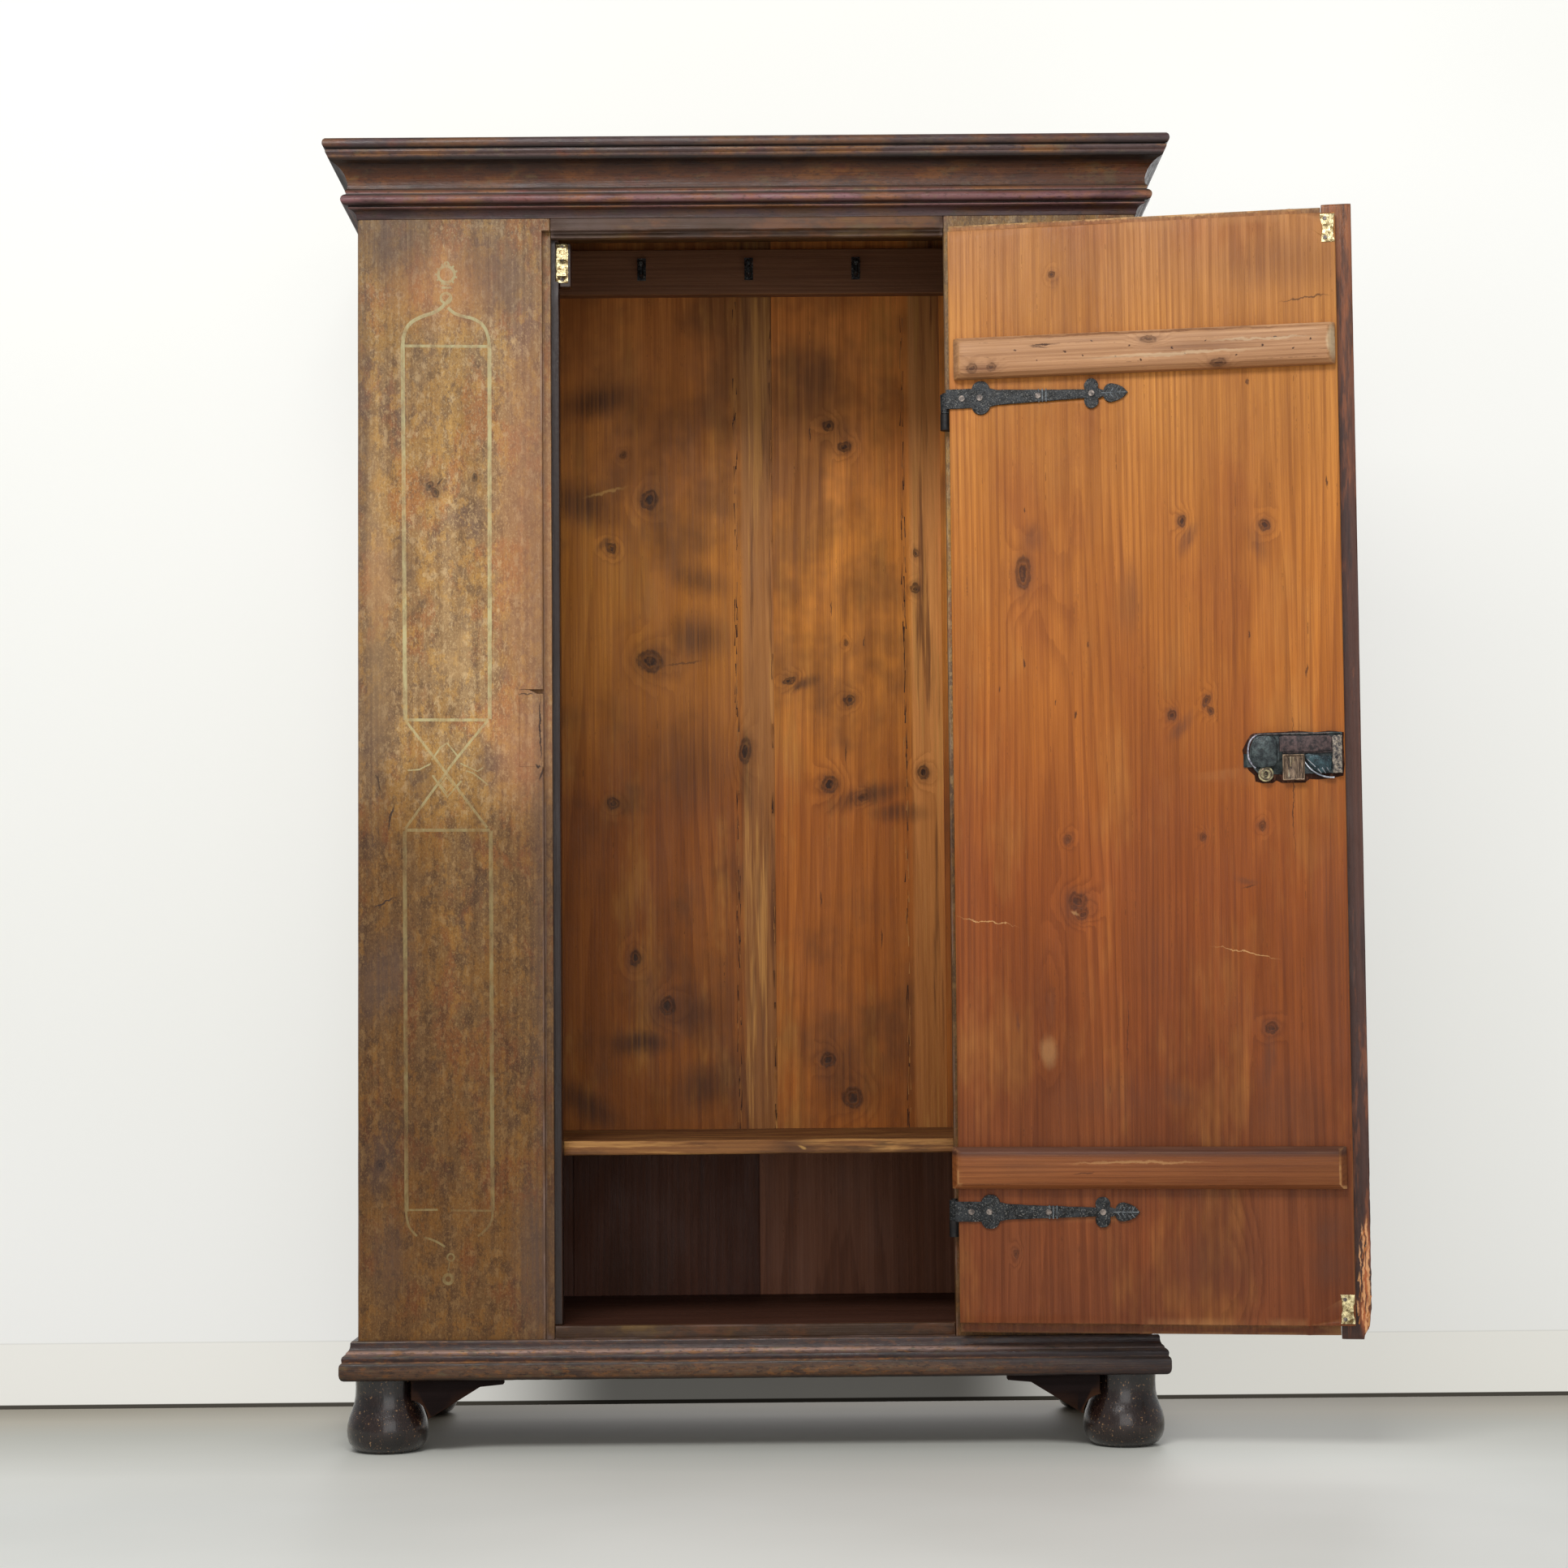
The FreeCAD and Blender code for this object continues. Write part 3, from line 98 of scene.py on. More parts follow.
class Bench:
    """Lays down the nodes of one finish and joins them by short calls."""

    def __init__(self, name):
        self.material = bpy.data.materials.new(name)
        self.material.use_nodes = True
        self.nodes = self.material.node_tree.nodes
        self.links = self.material.node_tree.links
        self.shader = self.nodes["Principled BSDF"]
        self.place = self.add("TexCoord").outputs["Object"]

    def feed(self, socket, value):
        if isinstance(value, bpy.types.NodeSocket):
            self.links.new(value, socket)
        else:
            socket.default_value = value

    def add(self, kind, sockets=(), **settings):
        made = self.nodes.new("ShaderNode" + kind)
        for key, value in settings.items():
            setattr(made, key, value)
        for key, value in dict(sockets).items():
            self.feed(made.inputs[key], value)
        return made

    def math(self, operation, first, second=0.0, third=0.0):
        return self.add("Math", {0: first, 1: second, 2: third}, operation=operation).outputs[0]

    def plus(self, first, second):
        return self.math("ADD", first, second)

    def minus(self, first, second):
        return self.math("SUBTRACT", first, second)

    def times(self, first, second):
        return self.math("MULTIPLY", first, second)

    def times_plus(self, first, second, third):
        return self.math("MULTIPLY_ADD", first, second, third)

    def vector(self, operation, first, second=(0, 0, 0)):
        return self.add("VectorMath", {0: first, 1: second}, operation=operation)

    def apart(self, vector):
        """The three parts of a vector."""
        return self.add("SeparateXYZ", {0: vector}).outputs

    def carried(self, name):
        """A measure that the mesh carries at each corner."""
        return self.add("Attribute", attribute_name=name).outputs["Fac"]

    def turned(self, vector, place=(0, 0, 0), turn=(0, 0, 0), size=(1, 1, 1)):
        """The vector as seen from a place that is turned and sized."""
        return self.add("Mapping", {"Vector": vector, "Location": place, "Rotation": turn, "Scale": size},
                        vector_type="TEXTURE").outputs[0]

    def grain(self, vector, scale, detail=3.0, rough=0.5, shift=(0, 0, 0)):
        """Noise with its own scale each way."""
        spread = self.add("Mapping", {"Vector": vector, "Location": shift, "Scale": scale}).outputs[0]
        return self.add("TexNoise", {"Vector": spread, "Scale": 1.0, "Detail": detail, "Roughness": rough})

    def step(self, value, low, high, to_low=0.0, to_high=1.0):
        return self.add("MapRange", {0: value, 1: low, 2: high, 3: to_low, 4: to_high},
                        interpolation_type="SMOOTHSTEP").outputs[0]

    def mix(self, amount, first, second, blend="MIX"):
        return self.add("Mix", {0: amount, 6: first, 7: second}, data_type="RGBA", blend_type=blend).outputs[2]

    def ramp(self, value, stops):
        made = self.add("ValToRGB", {0: value})
        bar = made.color_ramp.elements
        while len(bar) < len(stops):
            bar.new(0.5)
        for element, (where, colour) in zip(bar, stops):
            element.position, element.color = where, colour
        return made.outputs[0]

    def bump(self, height, strength, distance):
        relief = self.add("Bump", {"Height": height, "Strength": strength, "Distance": distance})
        self.links.new(relief.outputs[0], self.shader.inputs["Normal"])

    def finish(self, colour, rough, metallic=0.0, specular=0.5, coat=0.0):
        self.feed(self.shader.inputs["Base Color"], colour)
        self.feed(self.shader.inputs["Roughness"], rough)
        for name, value in (("Metallic", metallic), ("Specular IOR Level", specular), ("Coat Weight", coat),
                            ("Coat Roughness", 0.16)):
            self.shader.inputs[name].default_value = value
        return self.material


# ---------------------------------------------------------------- wood

# Each wood: what a late ring, a knot, a stain, a pale scar, a rubbed edge and dust look like on it,
# how rough it is, how far its yearly rings lie apart (mm) and how strongly rings, streaks and fine lines show.
PINE = dict(knot=(60, 32, 20), stain=(96, 56, 38), pale=(226, 178, 118), worn=(196, 144, 92), dust=(158, 134, 112),
            rust=(176, 92, 44), rough=0.42, ring=6.4, rings=0.5, streaks=0.8, lines=1.0, sheen=0.2, coat=0.0)
LINING = dict(PINE, knot=(44, 26, 18), stain=(66, 40, 26), pale=(214, 166, 92), worn=(150, 104, 60), rough=0.5,
              rings=0.45, streaks=0.7)
# Old paint's rubbed edges are lilac-grey: partly bare wear, partly a painted highlight along the arrises.
OLD_PAINT = dict(PINE, knot=(52, 38, 34), stain=(88, 68, 58), pale=(206, 166, 112), worn=(134, 112, 104),
                 rust=(184, 124, 84), dust=(150, 136, 116), rough=0.47, ring=7.5, rings=0.3, streaks=0.45, lines=0.5)
DARK_STAIN = dict(PINE, knot=(30, 20, 20), stain=(44, 34, 36), pale=(150, 116, 86), worn=(132, 84, 50),
                  dust=(124, 112, 102), rough=0.34, ring=8.0, rings=0.3, streaks=1.0, sheen=0.35)
CHALK = (204, 192, 146)

# Colours that drift over old paint: colour, scale across and along, where it starts and is full, place, strength.
MOTTLE = [
    ((198, 150, 80), 12, 6, 0.46, 0.60, 1.0, 0.75), ((132, 106, 94), 9, 5, 0.50, 0.62, 7.0, 0.8),
    ((190, 120, 72), 20, 11, 0.50, 0.62, 13.0, 0.6), ((122, 94, 72), 46, 27, 0.51, 0.62, 19.0, 0.6),
    ((212, 164, 94), 60, 38, 0.52, 0.61, 21.0, 0.65), ((222, 190, 146), 100, 62, 0.54, 0.64, 23.0, 0.6),
    ((118, 92, 78), 150, 90, 0.54, 0.64, 29.0, 0.45), ((216, 184, 138), 380, 240, 0.53, 0.63, 31.0, 0.65),
    ((110, 82, 62), 440, 280, 0.54, 0.65, 37.0, 0.45), ((96, 70, 52), 760, 520, 0.57, 0.67, 41.0, 0.4),
    ((226, 198, 152), 700, 480, 0.57, 0.67, 43.0, 0.55)]

# The kinds of mark from the bottom layer up, each with the shade that it is laid in.
LAYERS = dict(rust="rust", smudge="stain", rim="knot", knot="knot", tick="knot", pale="pale")
# How a plain mark fades from its outside to its middle, in shares of its own size.
FADES = dict(rust=(1.6, 0.1), smudge=(1.6, 0.1), tick=(1.3, 0.5), pale=(1.25, 0.4))


def deepened(b, colour, share):
    """The colour darkened to a share of itself, richer as it darkens, as oiled wood is."""
    factor = b.add("CombineColor", {0: share, 1: b.math("POWER", share, 1.25), 2: b.math("POWER", share, 1.5)})
    return b.mix(1.0, colour, factor.outputs[0], "MULTIPLY")


def by_height(b, heights):
    """A colour that changes with the height above the floor: rows of height, red, green, blue."""
    low, high = heights[0][0], heights[-1][0]
    share = b.add("MapRange", {0: b.apart(b.place)[2], 1: low * MM, 2: high * MM}).outputs[0]
    return b.ramp(share, [((z - low) / (high - low), tone(*hue)) for z, *hue in heights])


def ground(b, board, heights, clouds, seed, wash_and_painted_light=None):
    """The colour under the grain: tones by height, clouds over them, then rows by height that multiply them: the old
    wash together with painted shade and painted highlights.
    """
    colour = by_height(b, heights)
    for hue, wide, long, low, high, offset, strength in clouds:
        drift = b.grain(board, (wide, wide, long), 4, 0.66, (offset + seed, offset * 2.3, offset * 1.3 + seed))
        colour = b.mix(b.step(drift.outputs[0], low, high, 0.0, strength), colour, tone(*hue))
    return b.mix(1.0, colour, by_height(b, wash_and_painted_light), "MULTIPLY") if wash_and_painted_light else colour


def timber(name, kind, heights, place=(0, 0, 0), turn=(0, 0, 0), pith=(0, 60), seed=0.0, clouds=(), marks=None,
           other_face=None, chalky=False, dusty=0.0, edge_wear=0.7, ring_shift=0.0, wash_and_painted_light=None):
    """A board's finish: yearly rings cut by the board's face, fibres, clouds of colour and its own marks.

    In the board's own measure x runs across it, y through it and z along it. The marks are rows for
    each kind: x, z, half width, half length (all mm), strength and, where it leans, degrees.
    """
    b = Bench(name)
    shade = {key: tone(*kind[key]) for key in ("knot", "stain", "pale", "worn", "dust", "rust")}
    ring = kind["ring"] * MM
    board = b.turned(b.place, Vector(place) * MM, turn)
    parts = b.apart(board)
    shift = (seed * 3.1, seed * 1.7, seed * 5.3)

    # a ragged copy of the place, so that no mark has a clean outline
    coarse = b.grain(board, (38, 38, 22), 2, 0.6, shift)
    small = b.grain(board, (170, 170, 110), 3, 0.65, shift)
    ragged = board
    for drift, wide, long in ((coarse, 0.009, 0.013), (small, 0.006, 0.009)):
        ragged = b.add("VectorMath", {0: drift.outputs["Color"], 1: (wide, 0.0, long), 2: ragged},
                       operation="MULTIPLY_ADD").outputs[0]
        ragged = b.vector("SUBTRACT", ragged, (wide / 2, 0.0, long / 2)).outputs[0]
    flat = b.vector("MULTIPLY", ragged, (1, 0, 1)).outputs[0]

    fibre = b.grain(board, (560, 560, 9), 3, 0.65, shift).outputs[0]
    streak = b.grain(board, (64, 64, 1.1), 3, 0.6, shift).outputs[0]
    line = b.grain(board, (210, 210, 2.2), 3, 0.6, shift).outputs[0]
    broad = b.grain(board, (7, 7, 1.8), 4, 0.55, shift).outputs[0]

    masks = {layer: [] for layer in LAYERS}
    bulges = []
    for what, rows in (marks or {}).items():
        for x, z, half_width, half_length, strength, *lean in rows:
            near = b.turned(flat, (x * MM, 0, z * MM), (0, math.radians(sum(lean)), 0),
                            (half_width * MM, 1, half_length * MM))
            far = b.vector("LENGTH", near).outputs["Value"]
            if what == "knot":
                rings = b.times_plus(b.math("SINE", b.times(far, 13.0)), 0.16, far)
                rim = b.math("ABSOLUTE", b.minus(far, 1.05))
                masks["knot"].append(b.step(rings, 1.15, 0.35, 0.0, strength))
                masks["smudge"].append(b.step(far, 2.6, 0.9, 0.0, 0.5 * strength))
                masks["rim"].append(b.step(rim, 0.3, 0.0, 0.0, 0.75 * strength))
                bulges.append(b.step(far, 4.2, 0.2, 0.0, 2.2 * ring))
            elif what == "bulge":
                bulges.append(b.step(far, 1.6, 0.0, 0.0, strength * ring))
            else:
                masks[what].append(b.step(far, *FADES[what], 0.0, strength))

    # yearly rings, swaying along the board and pushed aside by knots
    sway = b.apart(b.grain(board, (5, 5, 0.8), 2, 0.5, shift).outputs["Color"])
    across = b.times_plus(sway[0], 0.044, b.minus(parts[0], pith[0] * MM + 0.022))
    through = b.times_plus(parts[2], 0.012, pith[1] * MM)
    through = b.times_plus(sway[1], 0.016, b.plus(through, parts[1]))
    reach = b.math("SQRT", b.plus(b.times(across, across), b.times(through, through)))
    for bulge in bulges:
        reach = b.plus(reach, bulge)
    reach = b.times_plus(streak, 0.004, reach)
    year = b.math("FRACT", b.plus(b.math("DIVIDE", reach, ring), ring_shift))
    late = b.times(b.step(year, 0.35, 0.93), b.step(year, 1.0, 0.94))
    late = b.times(late, b.step(broad, 0.3, 0.66, 0.35, 1.0))

    # how dark the grain leaves the ground at each place
    streaks, lines = kind["streaks"], kind["lines"]
    share = b.times(b.step(broad, 0.32, 0.68, 0.84, 1.12),
                    b.step(streak, 0.3, 0.7, 1.0 + 0.08 * streaks, 1.0 - 0.17 * streaks))
    share = b.times(share, b.step(line, 0.32, 0.72, 1.0 + 0.05 * lines, 1.0 - 0.16 * lines))
    share = b.times(share, b.step(fibre, 0.28, 0.74, 1.0 - 0.14 * lines, 1.0 + 0.10 * lines))
    share = b.times(share, b.times_plus(late, -0.5 * kind["rings"], 1.0))
    colour = deepened(b, ground(b, board, heights, clouds, seed, wash_and_painted_light), share)
    pores = b.times(b.step(fibre, 0.6, 0.72), b.step(small.outputs[0], 0.5, 0.6, 0.0, 0.6))
    colour = b.mix(pores, colour, shade["knot"])
    if other_face:
        depth, side, faced, drifting, wash_and_light_rows = other_face
        shows = b.step(parts[1], (depth + 0.4 * side) * MM, (depth - 0.4 * side) * MM)
        skin = deepened(b, ground(b, board, faced, drifting, seed, wash_and_light_rows), b.math("POWER", share, 0.7))
        colour = b.mix(shows, colour, skin)

    covers = {}
    for layer, hue in LAYERS.items():
        if not masks[layer]:
            continue
        cover, *others = masks[layer]
        for other in others:
            cover = b.math("MAXIMUM", cover, other)
        covers[layer] = cover
        if layer == "smudge":
            cover = b.times(cover, b.step(line, 0.3, 0.66, 0.6, 1.0))
        if layer in ("knot", "rim"):
            cover = b.times(cover, b.step(small.outputs[0], 0.25, 0.6, 0.45, 1.0))
        colour = b.mix(cover, colour, shade[hue])

    wear = b.grain(board, (26, 26, 10), 3, 0.7, (seed, 4, 9)).outputs[0]
    if chalky:
        chalk = b.grain(board, (90, 90, 34), 5, 0.7, (seed + 3, 1, 2)).outputs[0]
        kept = b.times(b.step(chalk, 0.38, 0.6, 0.45, 1.0), b.step(wear, 0.36, 0.6, 0.4, 0.95))
        colour = b.mix(kept, colour, b.mix(0.9, tone(*CHALK), by_height(b, wash_and_painted_light), "MULTIPLY"))
    bare = b.times(b.step(b.carried("edge"), 0.15, 0.9), b.step(wear, 0.42, 0.62, 0.05, edge_wear))
    colour = b.mix(bare, colour, shade["worn"])
    if dusty:
        facing = b.apart(b.add("NewGeometry").outputs["Normal"])[2]
        lying = b.times(b.step(facing, 0.3, 0.9), b.step(wear, 0.3, 0.62, 0.35 * dusty, dusty))
        colour = b.mix(lying, colour, shade["dust"])
    rough = b.step(b.plus(wear, fibre), 0.7, 1.3, kind["rough"] - 0.08, kind["rough"] + 0.14)
    height = b.times_plus(fibre, 0.6, b.times(small.outputs[0], 0.6))
    height = b.times_plus(coarse.outputs[0], 0.9, height)
    if "knot" in covers:
        height = b.times_plus(covers["knot"], -0.8, height)
    b.bump(height, 0.6, 0.0011)
    return b.finish(colour, rough, specular=kind["sheen"], coat=kind["coat"])


# ---------------------------------------------------------------- metal

def metal(name, dark, bright, rough, metallic, spread=60, relief=0.0006, specks_and_glints=None, stretch=1.0, glint=0.6,
          shine=0.5):
    """Old metal: a mottled skin with small dents, brighter at its edges, partly where it has been rubbed and partly
    as a painted highlight.
    """
    b = Bench(name)
    skin = b.grain(b.place, (spread, spread, spread * stretch), 4, 0.65).outputs[0]
    fine = b.grain(b.place, (spread * 5, spread * 5, spread * 5 * stretch), 3, 0.6, (3, 1, 4)).outputs[0]
    colour = b.mix(b.step(skin, 0.36, 0.66), tone(*dark), tone(*bright))
    # Specks paler than the skin are painted glints.
    if specks_and_glints:
        colour = b.mix(b.step(fine, glint, glint + 0.12, 0.0, 0.7), colour, tone(*specks_and_glints))
    # Edges brighter: partly rubbed metal, partly painted highlight.
    colour = b.mix(b.times(b.carried("edge"), b.step(skin, 0.35, 0.6, 0.2, 0.8)), colour, tone(*bright))
    b.bump(b.times_plus(fine, 0.35, skin), 0.6, relief)
    return b.finish(colour, b.step(fine, 0.3, 0.7, rough - 0.1, rough + 0.12), metallic, shine)


# ---------------------------------------------------------------- shapes

def smooth_share(value, low, high):
    """How far a value has come from low to high, 0 to 1, with soft ends."""
    share = min(1.0, max(0.0, (value - low) / (high - low)))
    return share * share * (3 - 2 * share)


def to_object(bm, name, finish, body, soft=20.0):
    """The mesh as a finished piece that rides on a body; edges blunter than soft degrees are smooth."""
    bmesh.ops.recalc_face_normals(bm, faces=bm.faces)
    mesh = bpy.data.meshes.new(name)
    bm.to_mesh(mesh)
    bm.free()
    for face in mesh.polygons:
        face.use_smooth = True
    mesh.set_sharp_from_angle(angle=math.radians(soft))
    piece = bpy.data.objects.new(name, mesh)
    bpy.context.scene.collection.objects.link(piece)
    mesh.materials.append(finish)
    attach(piece, body)
    return piece


def stand_in(bm, node, name, finish, soft=20.0):
    """The mesh as a finished piece in place of a CAD piece, on the same body."""
    source = frame["nodes"][node]
    piece = to_object(bm, name, finish, source["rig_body"], soft)
    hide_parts(node)
    return piece


def joined(node):
    """A copy of a CAD piece's mesh with its loose triangles joined."""
    bm = bmesh.new()
    bm.from_mesh(frame["nodes"][node].data)
    bmesh.ops.remove_doubles(bm, verts=bm.verts, dist=WELD)
    return bm


def cut_across(bm, place, way):
    """Cuts the faces where a plane crosses them."""
    bmesh.ops.bisect_plane(bm, geom=bm.verts[:] + bm.edges[:] + bm.faces[:], plane_co=place, plane_no=way)


def rub(bm, along=UP, ease=1.4, wear=1.2, pitch=28.0, seed=0.0, shortest=14.0, joints=(), lengthwise=False,
        spare=(), chips=(), levels=(), ways=(ACROSS, Vector((0, 1, 0)), UPRIGHT)):
    """Eases the long edges of a shape and rubs them unevenly, as years of use do.

    A joint is a plane (direction, distance, closing) where the piece meets its neighbour and stays crisp.
    A spare place (axis, level, reach) is left as it is; chips (low, high, depth) break an edge at those heights.
    Levels (direction, distance) cut the faces beside an edge, so that its wear stays near it.
    """
    def joint_at(v):
        for way, distance, closing in joints:
            if abs(v.co.dot(way) - distance) < 0.5 * MM:
                return way * closing * (1 if distance > middle.dot(way) else -1)
        return None

    low = Vector([min(v.co[i] for v in bm.verts) for i in range(3)])
    high = Vector([max(v.co[i] for v in bm.verts) for i in range(3)])
    middle = (low + high) / 2
    normal = Vector((0, 0, 0))
    normal[along] = 1
    for v in bm.verts:
        push = joint_at(v)
        if push:
            v.co += push * MM
    sharp = [e for e in bm.edges if len(e.link_faces) == 2 and e.calc_length() > shortest * MM
             and e.calc_face_angle() > math.radians(24)
             and not (joint_at(e.verts[0]) is not None and joint_at(e.verts[1]) is not None)
             and (not lengthwise or abs((e.verts[1].co - e.verts[0].co).normalized().dot(normal)) > 0.9)]
    bmesh.ops.bevel(bm, geom=sharp, offset=ease * MM, offset_type="OFFSET", segments=2, profile=0.5,
                    affect="EDGES", clamp_overlap=True, material=-1)
    for way in () if lengthwise else ways:
        reach = [v.co.dot(way) for v in bm.verts]
        if max(reach) - min(reach) > 30 * MM:
            for level in (min(reach) + 6 * MM, max(reach) - 6 * MM):
                cut_across(bm, way * level, way)
    for way, distance in levels:
        cut_across(bm, way * distance, way)
    cuts = int((high[along] - low[along]) / (pitch * MM))
    for cut in range(1, cuts):
        level = low.copy()
        level[along] += (high[along] - low[along]) * cut / cuts
        cut_across(bm, level, normal)
    bm.normal_update()
    edge = bm.verts.layers.float.new("edge")
    moves = []
    for v in bm.verts:
        spread = max((f.normal.angle(g.normal, 0.0) for f in v.link_faces for g in v.link_faces), default=0.0)
        on_edge = 0.0 if joint_at(v) is not None else min(1.0, spread / math.radians(60))
        for axis, level, reach in spare:
            on_edge *= smooth_share(abs(v.co[axis] - level * MM), 0.2 * reach * MM, reach * MM)
        v[edge] = on_edge
        rubbed = 0.5 + 0.5 * noise.noise(v.co * 23 + Vector((seed, 7.3, 1.1)))
        hollow = 0.5 + 0.5 * noise.noise(v.co * 5 + Vector((2.2, seed, 5.9)))
        depth = wear * (0.25 + rubbed * hollow)
        for floor, ceiling, deep in chips:
            if floor * MM <= v.co.z <= ceiling * MM:
                depth += deep * smooth_share(noise.noise(v.co * 60 + Vector((seed, 1.7, 4.4))), 0.0, 0.5)
        moves.append((v, v.normal * (-MM) * on_edge * depth))
    for v, move in moves:
        v.co += move


def worn_copy(node, finish, shape=None, **wearing):
    """A copy of a CAD piece with rubbed edges, in place of that piece."""
    bm = joined(node)
    bmesh.ops.dissolve_limit(bm, angle_limit=math.radians(0.4), verts=bm.verts, edges=bm.edges)
    rub(bm, **wearing)
    if shape:
        shape(bm)
    return stand_in(bm, node, node + "_worn", finish)


def moulding(node, side, profile, finish, **wearing):
    """A run of moulding along one side of the case, mitred at its front corners.

    The profile is drawn as (how far it stands out, height), top to bottom.
    """
    def start(out, z):
        x = CASE_RIGHT + out if side == "right" else CASE_LEFT - out
        return Vector((x, FRONT_FACE - out, z)) * MM

    def end(out, z):
        if side == "front":
            return Vector((CASE_RIGHT + out, FRONT_FACE - out, z)) * MM
        x = CASE_RIGHT + out if side == "right" else CASE_LEFT - out
        return Vector((x, CASE_BACK, z)) * MM

    bm = bmesh.new()
    section = bm.faces.new([bm.verts.new(start(*corner)) for corner in profile])
    drawn = list(section.verts)
    swept = bmesh.ops.extrude_face_region(bm, geom=[section])["geom"]
    for v in [g for g in swept if isinstance(g, bmesh.types.BMVert)]:
        nearest = min(range(len(profile)), key=lambda i: (drawn[i].co - v.co).length)
        v.co = end(*profile[nearest])
    bmesh.ops.delete(bm, geom=[f for f in bm.faces if len(f.verts) == len(profile)], context="FACES_ONLY")
    bmesh.ops.recalc_face_normals(bm, faces=bm.faces)
    run = ALONG_X if side == "front" else ALONG_Y
    corners = [(ALONG_Y, FRONT_FACE, 60)]
    if side == "front":
        corners = [(ALONG_X, CASE_LEFT, 60), (ALONG_X, CASE_RIGHT, 60)]
    rub(bm, along=run, lengthwise=True, spare=corners, **wearing)
    middle = sum(v.co[run] for v in bm.verts) / len(bm.verts)
    open_edges = [e for e in bm.edges if len(e.link_faces) == 1]
    for near in (True, False):
        bmesh.ops.edgeloop_fill(bm, edges=[e for e in open_edges if (e.verts[0].co[run] < middle) == near])
    return stand_in(bm, f"{side}_{node}", f"{side}_{node}_run", finish, soft=30)


def refinish(node, finish):
    for holder in frame["nodes"][node].material_slots:
        holder.material = finish


# ---------------------------------------------------------------- case

# Colours by height: rows of height in mm, red, green, blue. A wash table multiplies the colours under it; it holds
# real wash and grime together with painted shade and painted highlights.
PAINT = [(99, 173, 138, 98), (1766, 173, 138, 98)]
# Painted shade: the case's paint darkens toward the floor and toward the cornice, partly its own grime and partly a
# painted falloff of the light.
PAINT_WASH_AND_SHADE = [(99, 162, 144, 118), (480, 160, 144, 120), (830, 174, 160, 138), (950, 232, 230, 222),
              (1250, 245, 244, 236), (1600, 207, 208, 206), (1766, 176, 174, 176)]
# The cove band (1722 to 1745 mm) is warmer and lighter than the members round it: partly its own stain, partly
# painted light, as though the cove were lit from below.
CORNICE_HEIGHTS = [(1680, 138, 102, 104), (1712, 136, 98, 100), (1722, 118, 71, 28), (1745, 116, 70, 28),
                   (1757, 100, 80, 78), (1784.5, 102, 84, 84)]
# Painted light on the cornice: the near-white rows are painted highlights on the fillets and beads, and the darkest
# rows are partly dirt and partly painted shade in the quirks.
CORNICE_DIRT_SHADE_AND_HIGHLIGHTS = [(1680, 120, 110, 110), (1692, 130, 120, 118), (1694.6, 255, 252, 250), (1696, 60, 55, 55),
                (1698, 132, 122, 124), (1703, 250, 234, 240), (1708, 220, 204, 208), (1711, 60, 50, 50),
                (1713, 70, 60, 60), (1714.6, 255, 250, 245), (1716.4, 215, 200, 185), (1718.6, 85, 75, 70),
                (1722, 164, 146, 122), (1735, 194, 172, 140), (1745, 150, 135, 125), (1753, 85, 78, 75),
                (1757, 100, 88, 88), (1761, 255, 250, 250), (1764, 195, 180, 180), (1767.4, 255, 255, 255),
                (1768.8, 45, 40, 40), (1770, 74, 64, 64), (1773, 170, 158, 162), (1781, 206, 194, 200),
                (1784.5, 150, 140, 140)]
# The pale band at 136 to 138 mm is partly dust and partly a painted highlight along the ogee's edge.
PLINTH_HEIGHTS = [(99, 130, 98, 68), (121, 128, 96, 66), (127, 116, 84, 78), (134, 122, 98, 92),
                  (136, 168, 136, 124), (138, 168, 136, 124), (140, 112, 86, 78), (151.5, 112, 86, 78)]
# Painted light on the plinth: the near-white rows are painted highlights on its members' edges, and the darkest rows
# are partly dirt and partly painted shade in the quirks.
PLINTH_DIRT_SHADE_AND_HIGHLIGHTS = [(99, 70, 60, 58), (102, 110, 98, 90), (105, 164, 156, 158), (112, 194, 184, 184),
               (118.5, 178, 166, 162), (121.6, 70, 60, 55), (123.4, 255, 250, 245), (125.4, 150, 130, 125),
               (131, 115, 100, 98), (133.4, 230, 225, 225), (136, 255, 255, 255), (138, 255, 255, 255),
               (139.8, 136, 118, 114), (146, 140, 122, 122), (149, 120, 110, 114), (150.7, 245, 240, 242),
               (151.5, 120, 110, 112)]

